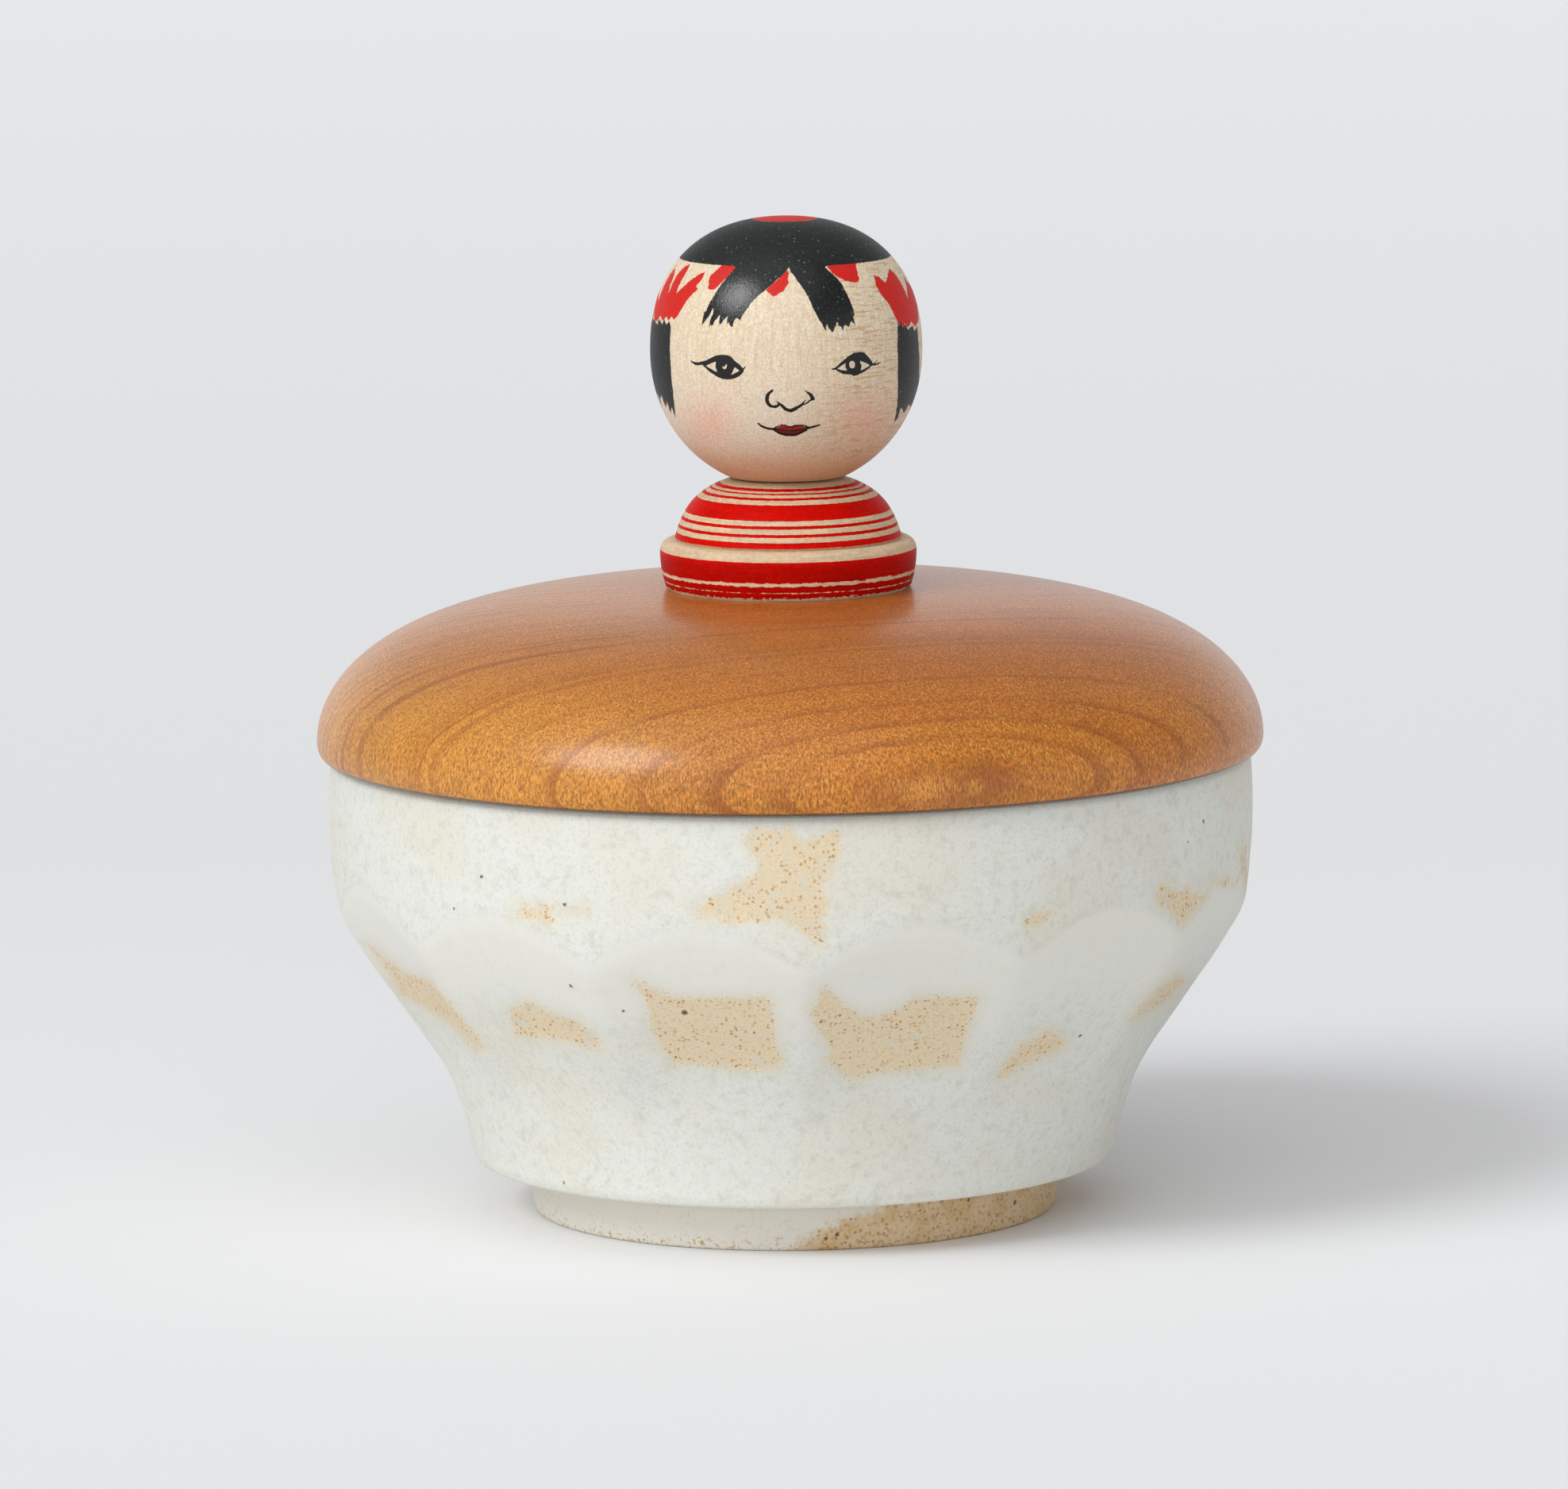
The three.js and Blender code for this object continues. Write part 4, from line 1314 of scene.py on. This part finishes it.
# %% Doll body: painted shade on the flange, pale lines as (height, half width, reach), and chips that the brush left near the base
pale_lines = [(81.5, 0.13, 0.75), (80.45, -0.03, 0.6)]
chips_z = 79.7
skip = speckle(tree, place, (1.3, 1.3, 0.7), 4.0, 0.75)
ragged = add(tree, "Math MULTIPLY_ADD", crisp, -1.4, height)
worn = where(tree, (ragged, chips_z - 0.66, chips_z - 0.74))
for line_z, half, reach in pale_lines:
    off = add(tree, "Math ABSOLUTE", add(tree, "Math SUBTRACT", moved, line_z))
    room = add(tree, "Math MULTIPLY_ADD", add(tree, "Math SUBTRACT", skip, 0.38), reach, half)
    bared = where(tree, (add(tree, "Math SUBTRACT", room, off), -0.03, 0.05))
    worn = add(tree, "Math MAXIMUM", worn, bared)
# The flange ring below its upper edge is painted a darker red: painted shade, as it leans down away from the
# light.
paint = laid(tree, rings, "#a80902", (height, flange_z + 0.6, flange_z - 0.6, 0.0, 0.6))
paint = laid(tree, paint, "#dcc6a6", worn)
print("pale lines", len(pale_lines))

# %% Doll body: brush ridges that run round, and blotches where the paint is thicker
uneven = add(tree, "Math ADD", speckle(tree, place, (6, 6, 0.2), 2.0), speckle(tree, place, 0.7))
thickness = add(tree, "MapRange SMOOTHSTEP", uneven, 0.7, 1.3, 0.84, 1.12)
fill(tree, shader, {
    "Base Color": add(tree, "VectorMath SCALE", paint, thickness),
    "Roughness": 0.45,
    "Specular IOR Level": 0.04,
    "Normal": add(tree, "Bump", Height=uneven, Strength=0.8, Distance=0.07 * MM),
})
print(striped.name, "has", len(tree.nodes), "nodes")

# %% [markdown]
# The head is pale dogwood or maple with fine upright fibres and a few tan growth lines across the right
# cheek. The paint is carbon ink for hair and lines, and a clear red for the ribbons. All of it lies under
# wax, so the whole head has one soft sheen, and the broad black strokes show the grain of the wood and of
# the brush.

# %% Head: pale wood with tan growth lines on the right, painted light on the left of the face, a chin with painted shade and painted reflected light from the lid, and rouge
painted, tree, shader, place = start_material("ink_and_red_on_waxed_pale_wood")
parts = add(tree, "SeparateXYZ", place).node.outputs
fibre = speckle(tree, place, (0.4, 0.4, 4.0), 3.0, 0.7)
growth = speckle(tree, place, (2.5, 2.5, 0.28), 3.0)
wood = add(tree, "ValToRGB", fibre)
set_stops(wood, [(0.30, "#d2bc9c"), (0.5, "#ddcbb0"), (0.70, "#e3d5be")])
wood = laid(tree, wood, "#d6b98f", (speckle(tree, place, 2.4), 0.48, 0.72, 0.0, 0.25))
wood = laid(tree, wood, "#b07f45", (growth, 0.52, 0.62), (parts["X"], 1.0, 9.0, 0.0, 0.48))
# Paler on the left of the face between mouth and eyes: painted light from the lamp at the left.
wood = laid(tree, wood, "#e9e0d0", (parts["Z"], 111, 101, 0.0, 0.55), (parts["X"], 8, -2))
# Darker and warmer under the face: painted shade under the chin, with a painted reflection of the lid's
# orange light.
wood = laid(tree, wood, "#cd9766", (parts["Z"], 100, 93.5, 0.0, 0.75))
rouge_share = add(tree, "Math MULTIPLY", add(tree, "Attribute rouge").node.outputs["Fac"], 0.5)
colour = laid(tree, wood, "#e8a894", rouge_share)
print("head nodes", len(tree.nodes))

# %% Head: paint, in the order in which it is brushed on, as (mark, colour, raggedness, softness)
paint_layers = [
    ("eye_mm", "#d8c8b0", 0.0, 0.03),
    ("ribbon_mm", "#cb1000", 0.25, 0.045),
    ("lip_mm", "#6d1512", 0.1, 0.04),
    ("upper_lip_mm", "#9c1a14", 0.15, 0.05),
    ("hair_mm", "#070a0b", 0.22, 0.045),
    ("ink_mm", "#0d0b0a", 0.12, 0.03),
]
tooth = speckle(tree, place, 0.25, 3.0, 0.7)
bristle = speckle(tree, place, (0.3, 0.3, 3.0), 2.0)
covered = {}
for name, code, rough, soft in paint_layers:
    edge = swayed(tree, add(tree, "Attribute " + name).node.outputs["Fac"], bristle, rough)
    edge = swayed(tree, edge, tooth, rough * 0.6)
    covered[name] = where(tree, (edge, soft, -soft))
    colour = laid(tree, colour, code, covered[name])
print("paint layers", len(paint_layers))

# %% Head: pale specks in the hair, partly dust and wear and partly painted glints, and the tooth of the paint, drawn coarser than it is so it shows
dust_and_glint_cell = 0.6
dust_and_glints = add(tree, "TexVoronoi", Vector=place, Scale=1 / dust_and_glint_cell)
chosen = add(tree, "SeparateColor", dust_and_glints.node.outputs["Color"])
dust_and_glint_specks = where(tree, (dust_and_glints, 0.3, 0.14), (chosen, 0.55, 0.95, 0.0, 0.6))
dust_and_glint_specks = add(tree, "Math MAXIMUM", dust_and_glint_specks, where(tree, (tooth, 0.55, 0.72, 0.0, 0.2)))
# Grey specks on the hair: dust and wear, and painted glints where the waxed strokes catch the light.
colour = laid(tree, colour, "#737b7e", covered["hair_mm"], dust_and_glint_specks)
thickness = add(tree, "MapRange SMOOTHSTEP", tooth, 0.32, 0.68, 0.84, 1.14)
colour = add(tree, "VectorMath SCALE", colour, thickness)
print("dust in cells of", dust_and_glint_cell, "mm")

# %% Head: wax, dull on the wood, the cap and the ribbons, and glossy where the fringe is burnished
burnished = where(tree, covered["hair_mm"], (parts["Y"], -10.5, -13.5))
dull = add(tree, "Math MAXIMUM", where(tree, (covered["ribbon_mm"], 0, 1, 0.0, 0.6)), 0.52)
relief = add(tree, "Math ADD", tooth, fibre)
fill(tree, shader, {
    "Base Color": colour,
    "Roughness": add(tree, "Math MULTIPLY_ADD", burnished, -0.38, dull),
    "Specular IOR Level": 0.4,
    "Normal": add(tree, "Bump", Height=relief, Strength=0.8, Distance=0.034 * MM),
})
print(painted.name, "has", len(tree.nodes), "nodes")

# %% [markdown]
# Each piece now gets its finish, rides on the body that carries it, and stands for the plain solid of its
# node.

# %% Dress the model
dressed = [
    (bowl, stoneware, "bowl", "bowl", "glazed_stoneware"),
    (lid, cherry, "lid", "lid", "lid_wood"),
    (peg, hardwood, "lid", "lid_dowel", "dowel_wood"),
    (doll_body, striped, "lid", "doll_body", "doll_body_paint"),
    (head, painted, "head", "doll_head", "doll_head_wood"),
]
for piece, material, body, node, slot in dressed:
    piece.data.materials.clear()
    piece.data.materials.append(material)
    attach(piece, body)
    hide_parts(node)
print("pieces dressed", len(dressed))
